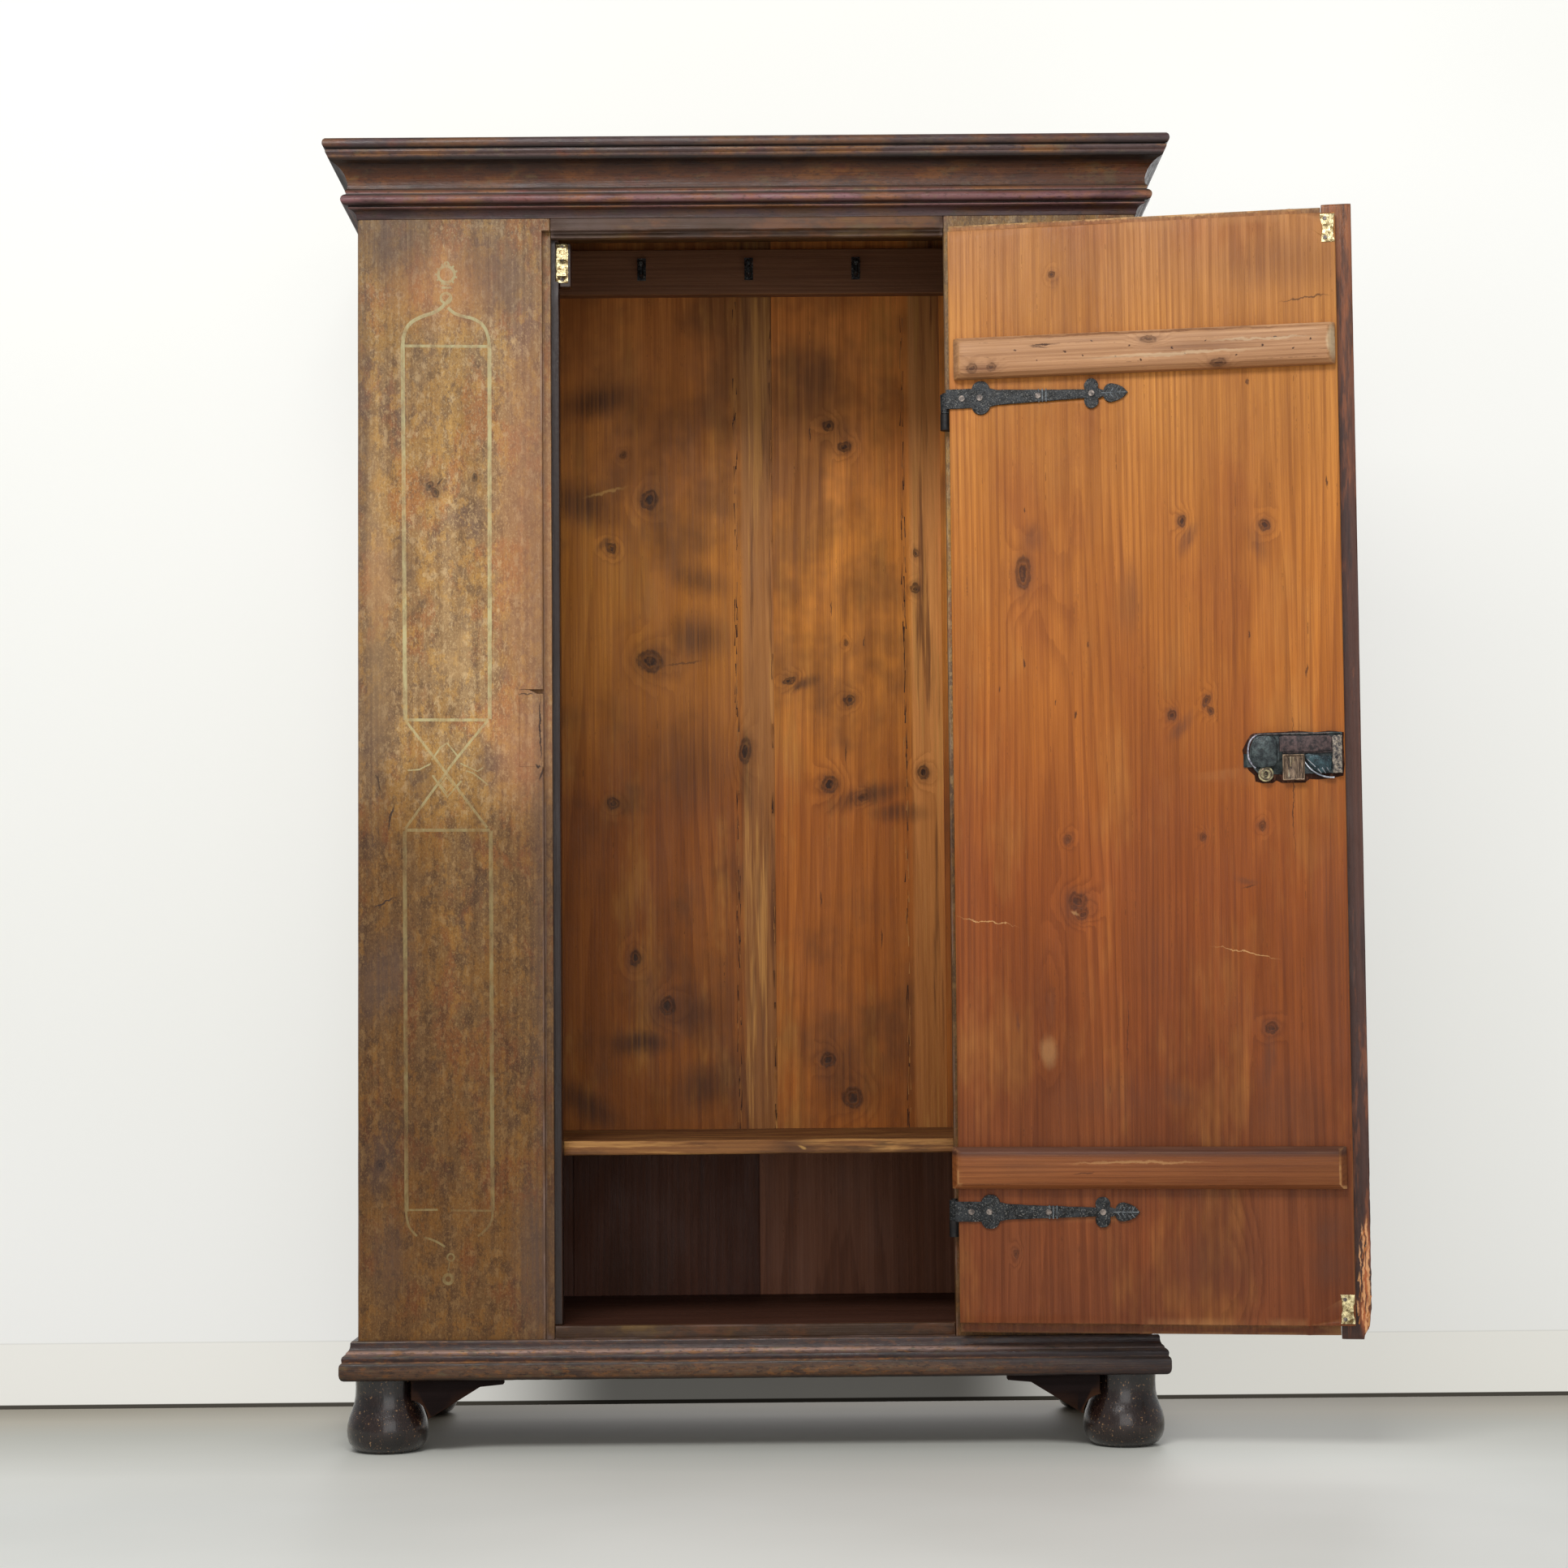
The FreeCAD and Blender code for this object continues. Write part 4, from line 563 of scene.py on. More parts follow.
stile_marks = dict(
    rust=[(104, 1230, 44, 330, 0.45), (96, 960, 50, 90, 0.5), (-104, 1180, 20, 60, 0.3), (0, 1590, 90, 60, 0.4)],
    tick=[(117, 976, 1.2, 50, 0.95), (112, 925, 5, 1.4, 0.9, 32), (98, 1024, 12, 1.0, 0.8, -4),
          (117, 914, 1.6, 9, 0.95, 12), (-20, 1318, 1.5, 7, 0.8, 40), (-95, 741, 1.4, 16, 0.9, 62),
          (-86, 859, 1.6, 18, 0.9, 12), (-104, 905, 1.2, 14, 0.8, -20), (28, 770, 1.2, 9, 0.6, 10)],
    knot=[(-34, 1312, 4, 7, 0.9, 20), (-26, 1304, 4, 6, 0.9, -25), (28, 1320, 4, 6, 0.8, 15), (-101, 387, 6, 7, 0.8)],
    # The narrow dark strip down the left edge (x -126) is partly dirt and partly painted shadow along that edge.
    smudge=[(-31, 1309, 16, 18, 0.55, 20), (30, 1319, 12, 14, 0.45), (-88, 1650, 60, 60, 0.8, 30),
            (-112, 1000, 24, 170, 0.65), (-96, 640, 34, 60, 0.75, 20), (60, 1600, 46, 70, 0.7, -30),
            (-100, 390, 22, 50, 0.45, 8), (108, 262, 30, 120, 0.8), (-90, 262, 28, 60, 0.5),
            (118, 800, 16, 700, 0.5), (-70, 1210, 20, 40, 0.5), (-126, 1400, 12, 300, 0.6),
            (112, 1220, 32, 420, 0.35), (40, 930, 18, 22, 0.45), (-48, 905, 18, 26, 0.5)],
    pale=[(0, 1064, 22, 26, 0.3, 20), (12, 1100, 10, 24, 0.25, 30), (-12, 1150, 8, 40, 0.2),
          (-104, 1180, 18, 260, 0.2)])


def old_paint(name, **look):
    """The case's old paint; chalky paint makes the lines drawn on it."""
    return timber(name, OLD_PAINT, PAINT, wash_and_painted_light=PAINT_WASH_AND_SHADE, clouds=MOTTLE, **look)


LEFT_STILE = dict(place=(-519, 0, 0), seed=2.0, marks=stile_marks)
RIGHT_STILE = dict(place=(286, 0, 0), seed=5.0)
INLAID = dict(chalky=True, edge_wear=0.0)
stile_finish = old_paint("stile_old_paint", **LEFT_STILE)
inlay_finish = old_paint("stile_inlay_chalky", **LEFT_STILE, **INLAID)
right_stile_finish = old_paint("right_stile_old_paint", **RIGHT_STILE)
right_inlay_finish = old_paint("right_inlay_chalky", **RIGHT_STILE, **INLAID)
side_finish = old_paint("side_old_paint", turn=(0, 0, math.radians(90)), seed=11.0)
rail_finish = timber("rail_old_paint", OLD_PAINT, [(99, 74, 54, 40), (1766, 80, 58, 45)], turn=LYING, seed=8.0,
                     clouds=[(tuple(int(c * 0.6) for c in hue), *rest) for hue, *rest in MOTTLE[:4]])
cornice_clouds = [((74, 48, 44), 30, 10, 0.5, 0.64, 2.0, 0.6), ((170, 116, 44), 24, 12, 0.47, 0.62, 5.0, 0.55),
                  ((140, 66, 52), 30, 18, 0.54, 0.68, 8.0, 0.35), ((130, 120, 88), 48, 30, 0.54, 0.68, 11.0, 0.5),
                  ((50, 34, 32), 320, 130, 0.54, 0.66, 14.0, 0.55)]
plinth_clouds = [((62, 44, 40), 36, 14, 0.5, 0.64, 5.0, 0.65), ((178, 122, 58), 180, 60, 0.52, 0.62, 8.0, 0.65),
                 ((140, 132, 96), 150, 50, 0.54, 0.66, 11.0, 0.6), ((44, 30, 28), 320, 110, 0.54, 0.64, 14.0, 0.65)]
cornice_look = dict(dusty=0.3, clouds=cornice_clouds, wash_and_painted_light=CORNICE_DIRT_SHADE_AND_HIGHLIGHTS)
plinth_look = dict(dusty=0.3, clouds=plinth_clouds, wash_and_painted_light=PLINTH_DIRT_SHADE_AND_HIGHLIGHTS)
cornice_finish = timber("cornice_dark_stain", DARK_STAIN, CORNICE_HEIGHTS, turn=LYING, seed=3.0, **cornice_look)
cornice_side_finish = timber("cornice_side_dark_stain", DARK_STAIN, CORNICE_HEIGHTS, turn=DEEP, seed=6.0,
                             **cornice_look)
plinth_finish = timber("plinth_dark_stain", DARK_STAIN, PLINTH_HEIGHTS, turn=LYING, seed=4.0, **plinth_look,
                       marks=dict(smudge=[(-125, 420, 90, 260, 0.95)]))
plinth_side_finish = timber("plinth_side_dark_stain", DARK_STAIN, PLINTH_HEIGHTS, turn=DEEP, seed=7.0, **plinth_look)
foot_finish = timber("foot_black_brown", dict(DARK_STAIN, rough=0.2, sheen=0.3, coat=0.65, streaks=0.4, rings=0.1),
                     [(0, 28, 20, 18), (30, 44, 29, 25), (60, 42, 28, 25), (100, 22, 16, 15), (135, 18, 13, 13)],
                     seed=9.0, edge_wear=0.0, clouds=[((22, 16, 16), 30, 30, 0.48, 0.62, 3.0, 0.8),
                                                      ((176, 138, 98), 300, 300, 0.62, 0.66, 9.0, 0.8)])
bracket_finish = timber("bracket_dark_stain", dict(DARK_STAIN, rough=0.6, sheen=0.08),
                        [(46, 24, 15, 14), (99, 26, 16, 15)], turn=LYING, seed=10.0, edge_wear=0.15)

# The plug in the left stile: its left side is closed up, its top right corner is broken away.
PATCH_LEFT, PATCH_FOOT, PATCH_HEAD = -431.3, 924.9, 1030.3
worn_copy("left_stile", stile_finish, ease=2.0, wear=1.7, pitch=13.0, seed=1.0,
          levels=[(ACROSS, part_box("stile_patch")[1].x - inset * MM) for inset in (4, 9)],
          joints=[(ACROSS, PATCH_LEFT * MM, 0.3), (UPRIGHT, (PATCH_FOOT - 0.3) * MM, 0.0),
                  (UPRIGHT, (PATCH_HEAD + 0.3) * MM, 0.0)])


def broken_corner(bm):
    """The plug's top breaks off in a jagged notch."""
    for v in bm.verts:
        if v.co.z > (PATCH_HEAD - 4) * MM:
            reach = smooth_share(v.co.x, -420 * MM, -404 * MM)
            v.co.z -= MM * (6.5 * reach + 2.5 * reach * noise.noise(v.co * 300))
            v.co.y += MM * 1.5 * reach


worn_copy("stile_patch", stile_finish, shape=broken_corner, along=ALONG_X, ease=0.5, wear=0.6, pitch=3.0, seed=34.0,
          joints=[(ACROSS, (PATCH_LEFT + 0.3) * MM, 0.3), (UPRIGHT, PATCH_FOOT * MM, 0.2)])
worn_copy("right_stile", right_stile_finish, ease=2.0, wear=1.7, pitch=13.0, seed=2.0)
for node in ("head_rail", "sill_rail"):
    worn_copy(node, rail_finish, along=ALONG_X, seed=3.0)
for node in ("left_side", "right_side"):
    worn_copy(node, side_finish, seed=4.0)

# Sections of the mouldings, from the top down: how far out, height.
CORNICE_PROFILE = [
    (0, 1784.5), (36, 1784.5), (39.6, 1783.5), (42, 1781), (43.1, 1777.6), (43.1, 1774.6), (42, 1771.9), (40.1, 1770),
    (37.6, 1769.4), (37.6, 1768.6), (39.2, 1767.8), (39.4, 1765), (38.2, 1762.6), (36.6, 1761.4), (36.2, 1758.4),
    (34.4, 1754.8), (30.7, 1753.2), (27.6, 1751.6), (24.8, 1749.8), (22.3, 1747.6), (19.9, 1745.3), (17.9, 1742.6),
    (16.1, 1739.8), (14.8, 1736.8), (13.5, 1733.7), (12.7, 1730.5), (12.2, 1727.2), (12.2, 1723.8), (12.6, 1720.2),
    (14.6, 1718.4), (15.6, 1716.6), (14.4, 1715.2), (14.4, 1712.6), (16.4, 1711.8), (18.6, 1710.2), (20.4, 1707.8),
    (21.1, 1704.8), (20.8, 1702.2), (19.8, 1700), (18, 1698.3), (15.4, 1697.4), (11, 1697.2), (11, 1696.2),
    (12.2, 1695.2), (11.6, 1693.4), (9.2, 1692.8), (6.5, 1691.8), (4.7, 1690.4), (3.2, 1688.7), (2.1, 1686.8),
    (1.4, 1684.6), (1.1, 1680.5), (0, 1680.5)]
PLINTH_PROFILE = [
    (0, 151.5), (6.4, 151.5), (8.2, 150.6), (8.9, 148.8), (8.9, 145.6), (9.6, 142.2), (11.2, 139.2), (13.6, 137.2),
    (14.4, 136), (14.4, 134.2), (16.6, 133.4), (18.8, 131.4), (19.8, 128.6), (19.4, 125.4), (19, 123.6),
    (20.6, 122.8), (22.2, 120.8), (22.8, 117.6), (22.8, 108), (22, 103.6), (20, 100.6), (16.8, 99), (0, 99)]
for side in ("front", "left", "right"):
    moulding("cornice", side, CORNICE_PROFILE, cornice_finish if side == "front" else cornice_side_finish,
             ease=0.35, wear=0.7, pitch=16.0, seed=5.0)
    moulding("plinth", side, PLINTH_PROFILE, plinth_finish if side == "front" else plinth_side_finish,
             ease=0.6, wear=0.9, pitch=7.0, seed=6.0, chips=[(98, 104, 3.2), (132, 134, 1.0)])

# A foot from the floor up: radius, height.
FOOT_PROFILE = [(0, 0), (35, 0), (41, 1.6), (47, 6), (51.6, 12.5), (53.9, 20), (54.6, 28), (53.7, 37), (51.4, 46),
                (48, 55), (45, 64), (43.3, 74), (43, 86), (43.6, 99), (44, 110), (44, 128), (0, 128)]
for node in ("front_left_foot", "front_right_foot", "rear_left_foot", "rear_right_foot"):
    low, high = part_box(node)
    axis = (low + high) / 2
    bm = bmesh.new()
    line = [bm.verts.new((axis.x + r * MM, axis.y, z * MM)) for r, z in FOOT_PROFILE]
    edges = [bm.edges.new(pair) for pair in zip(line, line[1:])]
    bmesh.ops.spin(bm, geom=line + edges, cent=(axis.x, axis.y, 0), axis=(0, 0, 1), angle=2 * math.pi, steps=56,
                   use_merge=True)
    bmesh.ops.remove_doubles(bm, verts=bm.verts, dist=0.00002)
    bmesh.ops.subdivide_edges(bm, edges=[e for e in bm.edges if e.calc_length() > 8 * MM], cuts=1, use_grid_fill=True)
    bm.normal_update()
    for v in bm.verts:
        dent = 0.5 + 0.5 * noise.noise(v.co * 26 + Vector((3.3, 1.2, 0)))
        if v.co.z > 2 * MM:
            v.co -= v.normal * MM * 1.1 * dent * dent
    stand_in(bm, node, node + "_turned", foot_finish, soft=40)
worn_copy("foot_brackets", bracket_finish, along=ALONG_X, ease=0.8, wear=0.8, seed=9.0, shortest=6)


# ---------------------------------------------------------------- inlay lines

def straight(width, *points):
    return ("POLY", width, points)


def smooth(width, *points):
    return ("NURBS", width, points)


def line_inlay(name, runs, finish, body, lay, flat=0.09):
    """Thin lines let into a face. A run is (kind, width in mm, points (x, z)) on the flat;
    lay turns a flat place (x, how far proud, z) into its place on the piece."""
    together = bmesh.new()
    for kind, width, points in runs:
        line = bpy.data.curves.new(name, "CURVE")
        line.dimensions = "3D"
        line.bevel_depth = width / 2 * MM
        line.bevel_resolution = 1
        line.use_fill_caps = True
        line.resolution_u = 8
        closed = points[0] == points[-1]
        places = points[:-1] if closed else points
        run = line.splines.new(kind)
        run.points.add(len(places) - 1)
        for point, (x, z) in zip(run.points, places):
            point.co = (x * MM, 0, z * MM, 1)
        run.use_cyclic_u = closed
        if kind == "NURBS":
            run.use_endpoint_u = not closed
            run.order_u = 3
        holder = bpy.data.objects.new(name, line)
        bpy.context.scene.collection.objects.link(holder)
        bpy.context.view_layer.update()
        mesh = bpy.data.meshes.new_from_object(holder)
        together.from_mesh(mesh)
        bpy.data.objects.remove(holder)
        bpy.data.curves.remove(line)
        bpy.data.meshes.remove(mesh)
    for v in together.verts:
        v.co = lay(v.co.x, v.co.y * flat, v.co.z)
    bmesh.ops.remove_doubles(together, verts=together.verts, dist=WELD)
    return to_object(together, name, finish, body)


def around(x, z, radius, count, offset=0.0):
    """Points spaced evenly round a middle."""
    turns = [2 * math.pi * (i + offset) / count for i in range(count)]
    return [(x + radius * math.cos(turn), z + radius * math.sin(turn)) for turn in turns]


def ring_run(x, z, radius, width, count=12):
    """A ring as a closed smooth run."""
    points = around(x, z, radius, count)
    return smooth(width, *points, points[0])


def studs(x, z, radius, count):
    """Small studs round the crowning ring."""
    inner_ends, outer_ends = (around(x, z, reach, count, 0.5) for reach in (radius, radius + 3.2))
    return [straight(3.0, *ends) for ends in zip(inner_ends, outer_ends)]


# The case's lines: x from the stile's middle, z above the floor, both in mm.
PANEL_LINES = [
    straight(6.4, (-60, 1506), (-57, 990)), straight(6.4, (59, 1504), (58, 990)),
    straight(4.6, (-58, 1505), (57, 1503.5)), straight(4.6, (-58, 990), (56, 989)),
    smooth(5.0, (-60, 1500), (-60, 1518), (-52, 1536), (-34, 1546), (-16, 1551), (-2, 1561), (6, 1572)),
    smooth(5.0, (59, 1500), (58.5, 1516), (51, 1534), (36, 1543), (20, 1546), (8, 1551), (2, 1558)),
    ring_run(-0.5, 1571, 7.2, 4.2), ring_run(0, 1604, 11.5, 4.6), ring_run(0.5, 1618.5, 3.0, 2.6, 8),
    straight(3.4, (-6.5, 1585.5), (7, 1585.5)), straight(3.4, (-4, 1590.5), (4.5, 1590)),
    straight(4.0, (-56, 988), (-12, 931), (54, 842)), straight(4.0, (55, 988), (12, 936), (-57, 842)),
    straight(4.8, (-58, 839.5), (58, 838.5)),
    straight(3.2, (-20, 914), (0, 884), (19, 906)), straight(2.8, (-21, 935), (-9, 952), (0, 958), (14, 940)),
    straight(2.4, (-9, 901), (-1, 911), (8, 901), (-1, 890), (-9, 901)),
    straight(2.2, (18, 930), (41, 919), (49, 924)), straight(2.2, (26, 920), (36, 916), (56, 900)),
    straight(2.4, (-22, 930), (-38, 922), (-54, 921)),
    straight(6.4, (-58, 838), (-56, 324)), straight(6.4, (59, 838), (60, 324)),
    straight(3.2, (-56, 326), (-14, 326)), straight(3.2, (4, 325), (60, 324)),
    smooth(3.4, (-57, 330), (-56, 310), (-48, 296), (-42, 291)), smooth(3.4, (-32, 289), (-18, 286), (-4, 276)),
    smooth(3.4, (60, 330), (61, 314), (52, 298), (40, 290)), ring_run(3.5, 262, 5.0, 2.8, 8),
    straight(2.2, (2, 256), (0, 244)), ring_run(0.0, 233, 6.5, 5.0, 8)] + studs(0, 1604, 12.5, 11)


def reshaped(runs, share):
    """The same runs, their x times a share."""
    return [(kind, width, [(x * share, z) for x, z in points]) for kind, width, points in runs]


def on_front(middle):
    """Lays the flat drawing on the front of the case."""
    return lambda x, y, z: Vector((x + middle * MM, FRONT_FACE * MM + y, z))


LEFT_MIDDLE, RIGHT_MIDDLE = -529.5, 296.9
line_inlay("left_stile_inlay", PANEL_LINES, inlay_finish, "carcass", on_front(LEFT_MIDDLE))
line_inlay("right_stile_inlay", reshaped(PANEL_LINES, -1), right_inlay_finish, "carcass",
           on_front(RIGHT_MIDDLE))

# ---------------------------------------------------------------- lining

BACK_HEIGHTS = [(405, 146, 84, 30), (900, 152, 86, 32), (1120, 190, 120, 46), (1320, 200, 128, 50),
                (1400, 200, 126, 54), (1700, 190, 116, 54)]
back_marks = {
    2: dict(
        knot=[(-20, 1371, 11, 12, 0.95), (-80, 1295, 7, 6, 0.9, 40), (-20, 1123, 17, 14, 0.95, 20),
              (-78, 907, 8, 7, 0.85), (-45, 673, 8, 10, 0.9), (3, 600, 11, 12, 0.9), (122, 986, 8, 18, 0.95),
              (-60, 1440, 4, 5, 0.7)],
        smudge=[(-88, 1302, 16, 6, 0.7, -40), (-10, 1126, 36, 30, 0.6), (-60, 905, 18, 16, 0.4),
                (-100, 1522, 60, 26, 0.9, -14), (-126, 1366, 60, 30, 0.85, 24), (53, 1246, 44, 22, 0.7, 16),
                (50, 1159, 46, 34, 0.8, 10), (-38, 545, 46, 18, 0.95), (30, 590, 60, 34, 0.7),
                (-124, 454, 60, 22, 0.85, 30), (60, 480, 60, 30, 0.6, -20), (124, 940, 10, 60, 0.5),
                (40, 960, 60, 70, 0.5)],
        pale=[(-88, 1382, 32, 3, 0.5, -14)],
        tick=[(30, 1120, 30, 1.4, 0.5, -6)]),
    3: dict(
        knot=[(-42, 1482, 8, 7, 0.95, 30), (-18, 1450, 8, 7, 0.95), (-105, 1093, 8, 5, 0.95, -20),
              (-13, 1062, 7, 7, 0.9), (-45, 932, 11, 11, 0.95), (6, 912, 6, 5, 0.7), (-51, 517, 9, 9, 0.9),
              (-15, 461, 14, 14, 0.9, 30), (88, 1231, 6, 7, 0.95), (90, 1287, 4, 6, 0.8), (98, 950, 8, 9, 0.95),
              (-18, 1150, 3, 4, 0.7)],
        smudge=[(-30, 1465, 22, 30, 0.6, 30), (-84, 1086, 30, 8, 0.8, -20), (10, 915, 60, 16, 0.8, -14),
                (60, 890, 40, 14, 0.7), (-30, 480, 50, 50, 0.5), (-60, 1560, 60, 60, 0.5)],
        tick=[(-70, 1470, 1.2, 14, 0.7), (-40, 1200, 1.2, 12, 0.7), (10, 1150, 1.2, 10, 0.7),
              (-20, 980, 1.2, 16, 0.6), (30, 700, 1.2, 14, 0.7), (-60, 760, 1.2, 12, 0.7)])}


def brighter(heights, gain):
    """The same colours by height, all lighter by a gain."""
    return [(z, *(min(255, round(c * gain)) for c in hue)) for z, *hue in heights]


def back_row(name, edges, finishes, seed):
    """A row of back boards from left to right, closed up at their joints."""
    for number, (left, right, finish) in enumerate(zip(edges, edges[1:], finishes), 1):
        worn_copy(f"{name}_{number}", finish, seed=seed + number, ease=0.7, wear=0.5,
                  joints=[(ACROSS, left * MM, 0.3), (ACROSS, right * MM, 0.3)])


# Each upper board: middle of its rings, where they start, how bright it is, how bright its planed strip is.
UPPER_BOARDS = [(-534, 20, 1.0, 1.0), (-250, -60, 1.0, 0.93), (45, 70, 1.16, 1.18), (296, 0, 1.12, 1.0)]
STRIP_FACE, NO_STRIP = 298.9, 305               # depth of the planed strips, mm; the last board shows none
STRIP_HEIGHTS = [(405, 150, 96, 48), (900, 168, 108, 54), (1180, 200, 136, 74), (1700, 160, 108, 60)]
STRIP_CLOUDS = [((204, 146, 76), 60, 2.4, 0.5, 0.62, 3.0, 0.6), ((98, 56, 30), 50, 2.0, 0.52, 0.66, 8.0, 0.75)]
upper_finishes = [
    timber(f"back_board_{number}_pine", LINING, brighter(BACK_HEIGHTS, gain), place=(middle, 0, 0),
           seed=float(number), pith=(pith, 50), marks=back_marks.get(number),
           clouds=[((96, 62, 36), 5, 4, 0.46, 0.7, 4.0, 0.6), ((188, 132, 62), 14, 4, 0.52, 0.7, 9.0, 0.45)],
           other_face=(STRIP_FACE if number < len(UPPER_BOARDS) else NO_STRIP, -1,
                       brighter(STRIP_HEIGHTS, strip_gain), STRIP_CLOUDS, None))
    for number, (middle, pith, gain, strip_gain) in enumerate(UPPER_BOARDS, 1)]
back_row("upper_back_board", (-651.3, -416.7, -82.7, 173.3, 418.7), upper_finishes, 10.0)
low_back = timber("low_back_board_pine", LINING, [(99, 98, 58, 42), (404, 102, 62, 44)], seed=14.0,
                  marks=dict(smudge=[(-46, 190, 60, 22, 0.8), (-300, 200, 70, 60, 0.6)]))
low_back_right = timber("low_back_right_pine", LINING, [(99, 138, 88, 64), (404, 142, 92, 66)], seed=18.0)
back_row("lower_back_board", (-651.3, -389.6, -110.6, 135.4, 418.7), (low_back,) * 2 + (low_back_right,) * 2, 20.0)
inner = timber("inner_pine", LINING, [(46, 128, 88, 54), (1785, 138, 96, 60)], turn=LYING, seed=15.0, edge_wear=0.9)
dark_inner = timber("dark_inner_pine", LINING, [(149, 80, 50, 38), (1785, 128, 88, 62)], turn=LYING, seed=16.0)
for node in ("cabinet_floor", "hook_rail"):
    worn_copy(node, dark_inner, along=ALONG_X, seed=30.0)
shelf_finish = timber("shelf_pine", LINING, [(46, 128, 84, 46), (414, 134, 88, 48), (415, 110, 70, 40)],
                      turn=LYING, seed=17.0, edge_wear=0.8,
                      clouds=[((196, 146, 84), 80, 6, 0.5, 0.62, 3.0, 0.7),
                              ((60, 38, 24), 60, 8, 0.5, 0.64, 6.0, 0.7)],
                      marks=dict(smudge=[(-400, -60, 14, 34, 0.9), (-396, -340, 5, 60, 0.7), (-396, 60, 5, 90, 0.7)],
                                 pale=[(-404, -52, 2, 7, 0.5, 20)]))
worn_copy("shelf", shelf_finish, along=ALONG_X, seed=31.0, pitch=12.0, ease=2.2, wear=2.2)
worn_copy("cabinet_top", inner, along=ALONG_X, seed=31.0)
for node in ("foot_blocks", "shelf_cleats"):
    worn_copy(node, inner, along=ALONG_Y, seed=32.0)
# The stop batten and catch block are near black: partly dark stain, partly painted shade of the recess behind the
# left stile.
edge_stain_and_shade = timber("edge_dark_stain_and_shade", DARK_STAIN, [(99, 40, 27, 22), (1700, 44, 29, 25)], seed=12.0, edge_wear=0.2)
for node in ("stop_batten", "catch_block"):
    worn_copy(node, edge_stain_and_shade, seed=33.0)


def slivers(name, places, lay, finish, body):
    """Thin splinters lifted from a face: each (x, z, length, width, lean in degrees), laid by lay."""
    bm = bmesh.new()
    for x, z, length, width, lean in places:
        turn = Matrix.Rotation(math.radians(lean), 4, "Y")
        bmesh.ops.create_cone(bm, segments=5, radius1=width / 2 * MM, radius2=0.12 * MM, depth=length * MM,
                              cap_ends=True, matrix=Matrix.Translation((x * MM, 0, z * MM)) @ turn)
    for v in bm.verts:
        v.co = lay(v.co.x, v.co.y * 0.5, v.co.z)
    return to_object(bm, name, finish, body, soft=50)


draw = random.Random(7)


def splinter_row(x, low, high, count, spread):
    """Seeded places for splinters up a torn edge."""
    return [(x + draw.uniform(-spread, spread * 0.4), draw.uniform(low, high), draw.uniform(9, 34),
             draw.uniform(0.9, 2.3), draw.choice((0, 180)) + draw.uniform(-4, 4)) for _ in range(count)]


def on_back(x, y, z):
    """Lays the flat drawing on the inner face of the back boards."""
    return Vector((x, BACK_BOARD_FACE * MM + y, z))


# The dark splinters are partly dark torn wood and partly painted shadow in the torn edge of the planed strips.
splinter_tones = dict(pale=[(405, 176, 120, 62), (1700, 170, 112, 60)], dark=[(405, 70, 38, 20), (1700, 60, 32, 20)])
for shade_name, tones in splinter_tones.items():
    places = [place for x, count, spread in ((-138, 70, 4.0), (117, 60, 4.0), (-85, 16, 1.5))
              for place in splinter_row(x, 412, 1670, count, spread)]
    slivers(f"back_{shade_name}_splinters", places, on_back,
            timber(f"torn_pine_{shade_name}", LINING, tones, seed=50.0), "carcass")

# ---------------------------------------------------------------- door

HINGE_EDGE = -8.5                               # the door's hinge edge, from its turning line, mm
OUTER_LIFT, OUTER_SKIN, INNER_LIFT = 7.5, 19, 19.0
DOOR_WAY = Vector((math.cos(DOOR_TURN), math.sin(DOOR_TURN), 0))
DOOR_THROUGH = Vector((-math.sin(DOOR_TURN), math.cos(DOOR_TURN), 0))
LEAF_WAYS = (DOOR_WAY, UPRIGHT)
ON_DOOR = dict(place=DOOR_PLACE, turn=(0, 0, DOOR_TURN))
ON_LEDGE = dict(place=DOOR_PLACE, turn=(0, math.radians(90), DOOR_TURN))


def across_door(distance):
    """Where a distance from the hinge edge lies in the door's own measure."""
    return HINGE_EDGE - distance


def from_hinge_edge(place):
    """How far a place lies from the hinge edge, in mm."""
    return HINGE_EDGE - (place - HINGE).dot(DOOR_WAY) / MM


def leaf_place(along, through, z):
    """A place in the door's own measure, in mm: along it, through it, above the floor."""
    return HINGE + (DOOR_WAY * along + DOOR_THROUGH * through + UPRIGHT * z) * MM


def on_outside(middle, lift):
    """Lays a flat drawing on the door's outer side."""
    return lambda x, y, z: leaf_place(x / MM + middle, lift - y / MM, z / MM)


def on_inside(lift, flat=1.0):
    """Lays a flat drawing (distance, z) on the door's inner side."""
    return lambda x, y, z: leaf_place(across_door(x / MM), lift + y / MM * flat, z / MM)


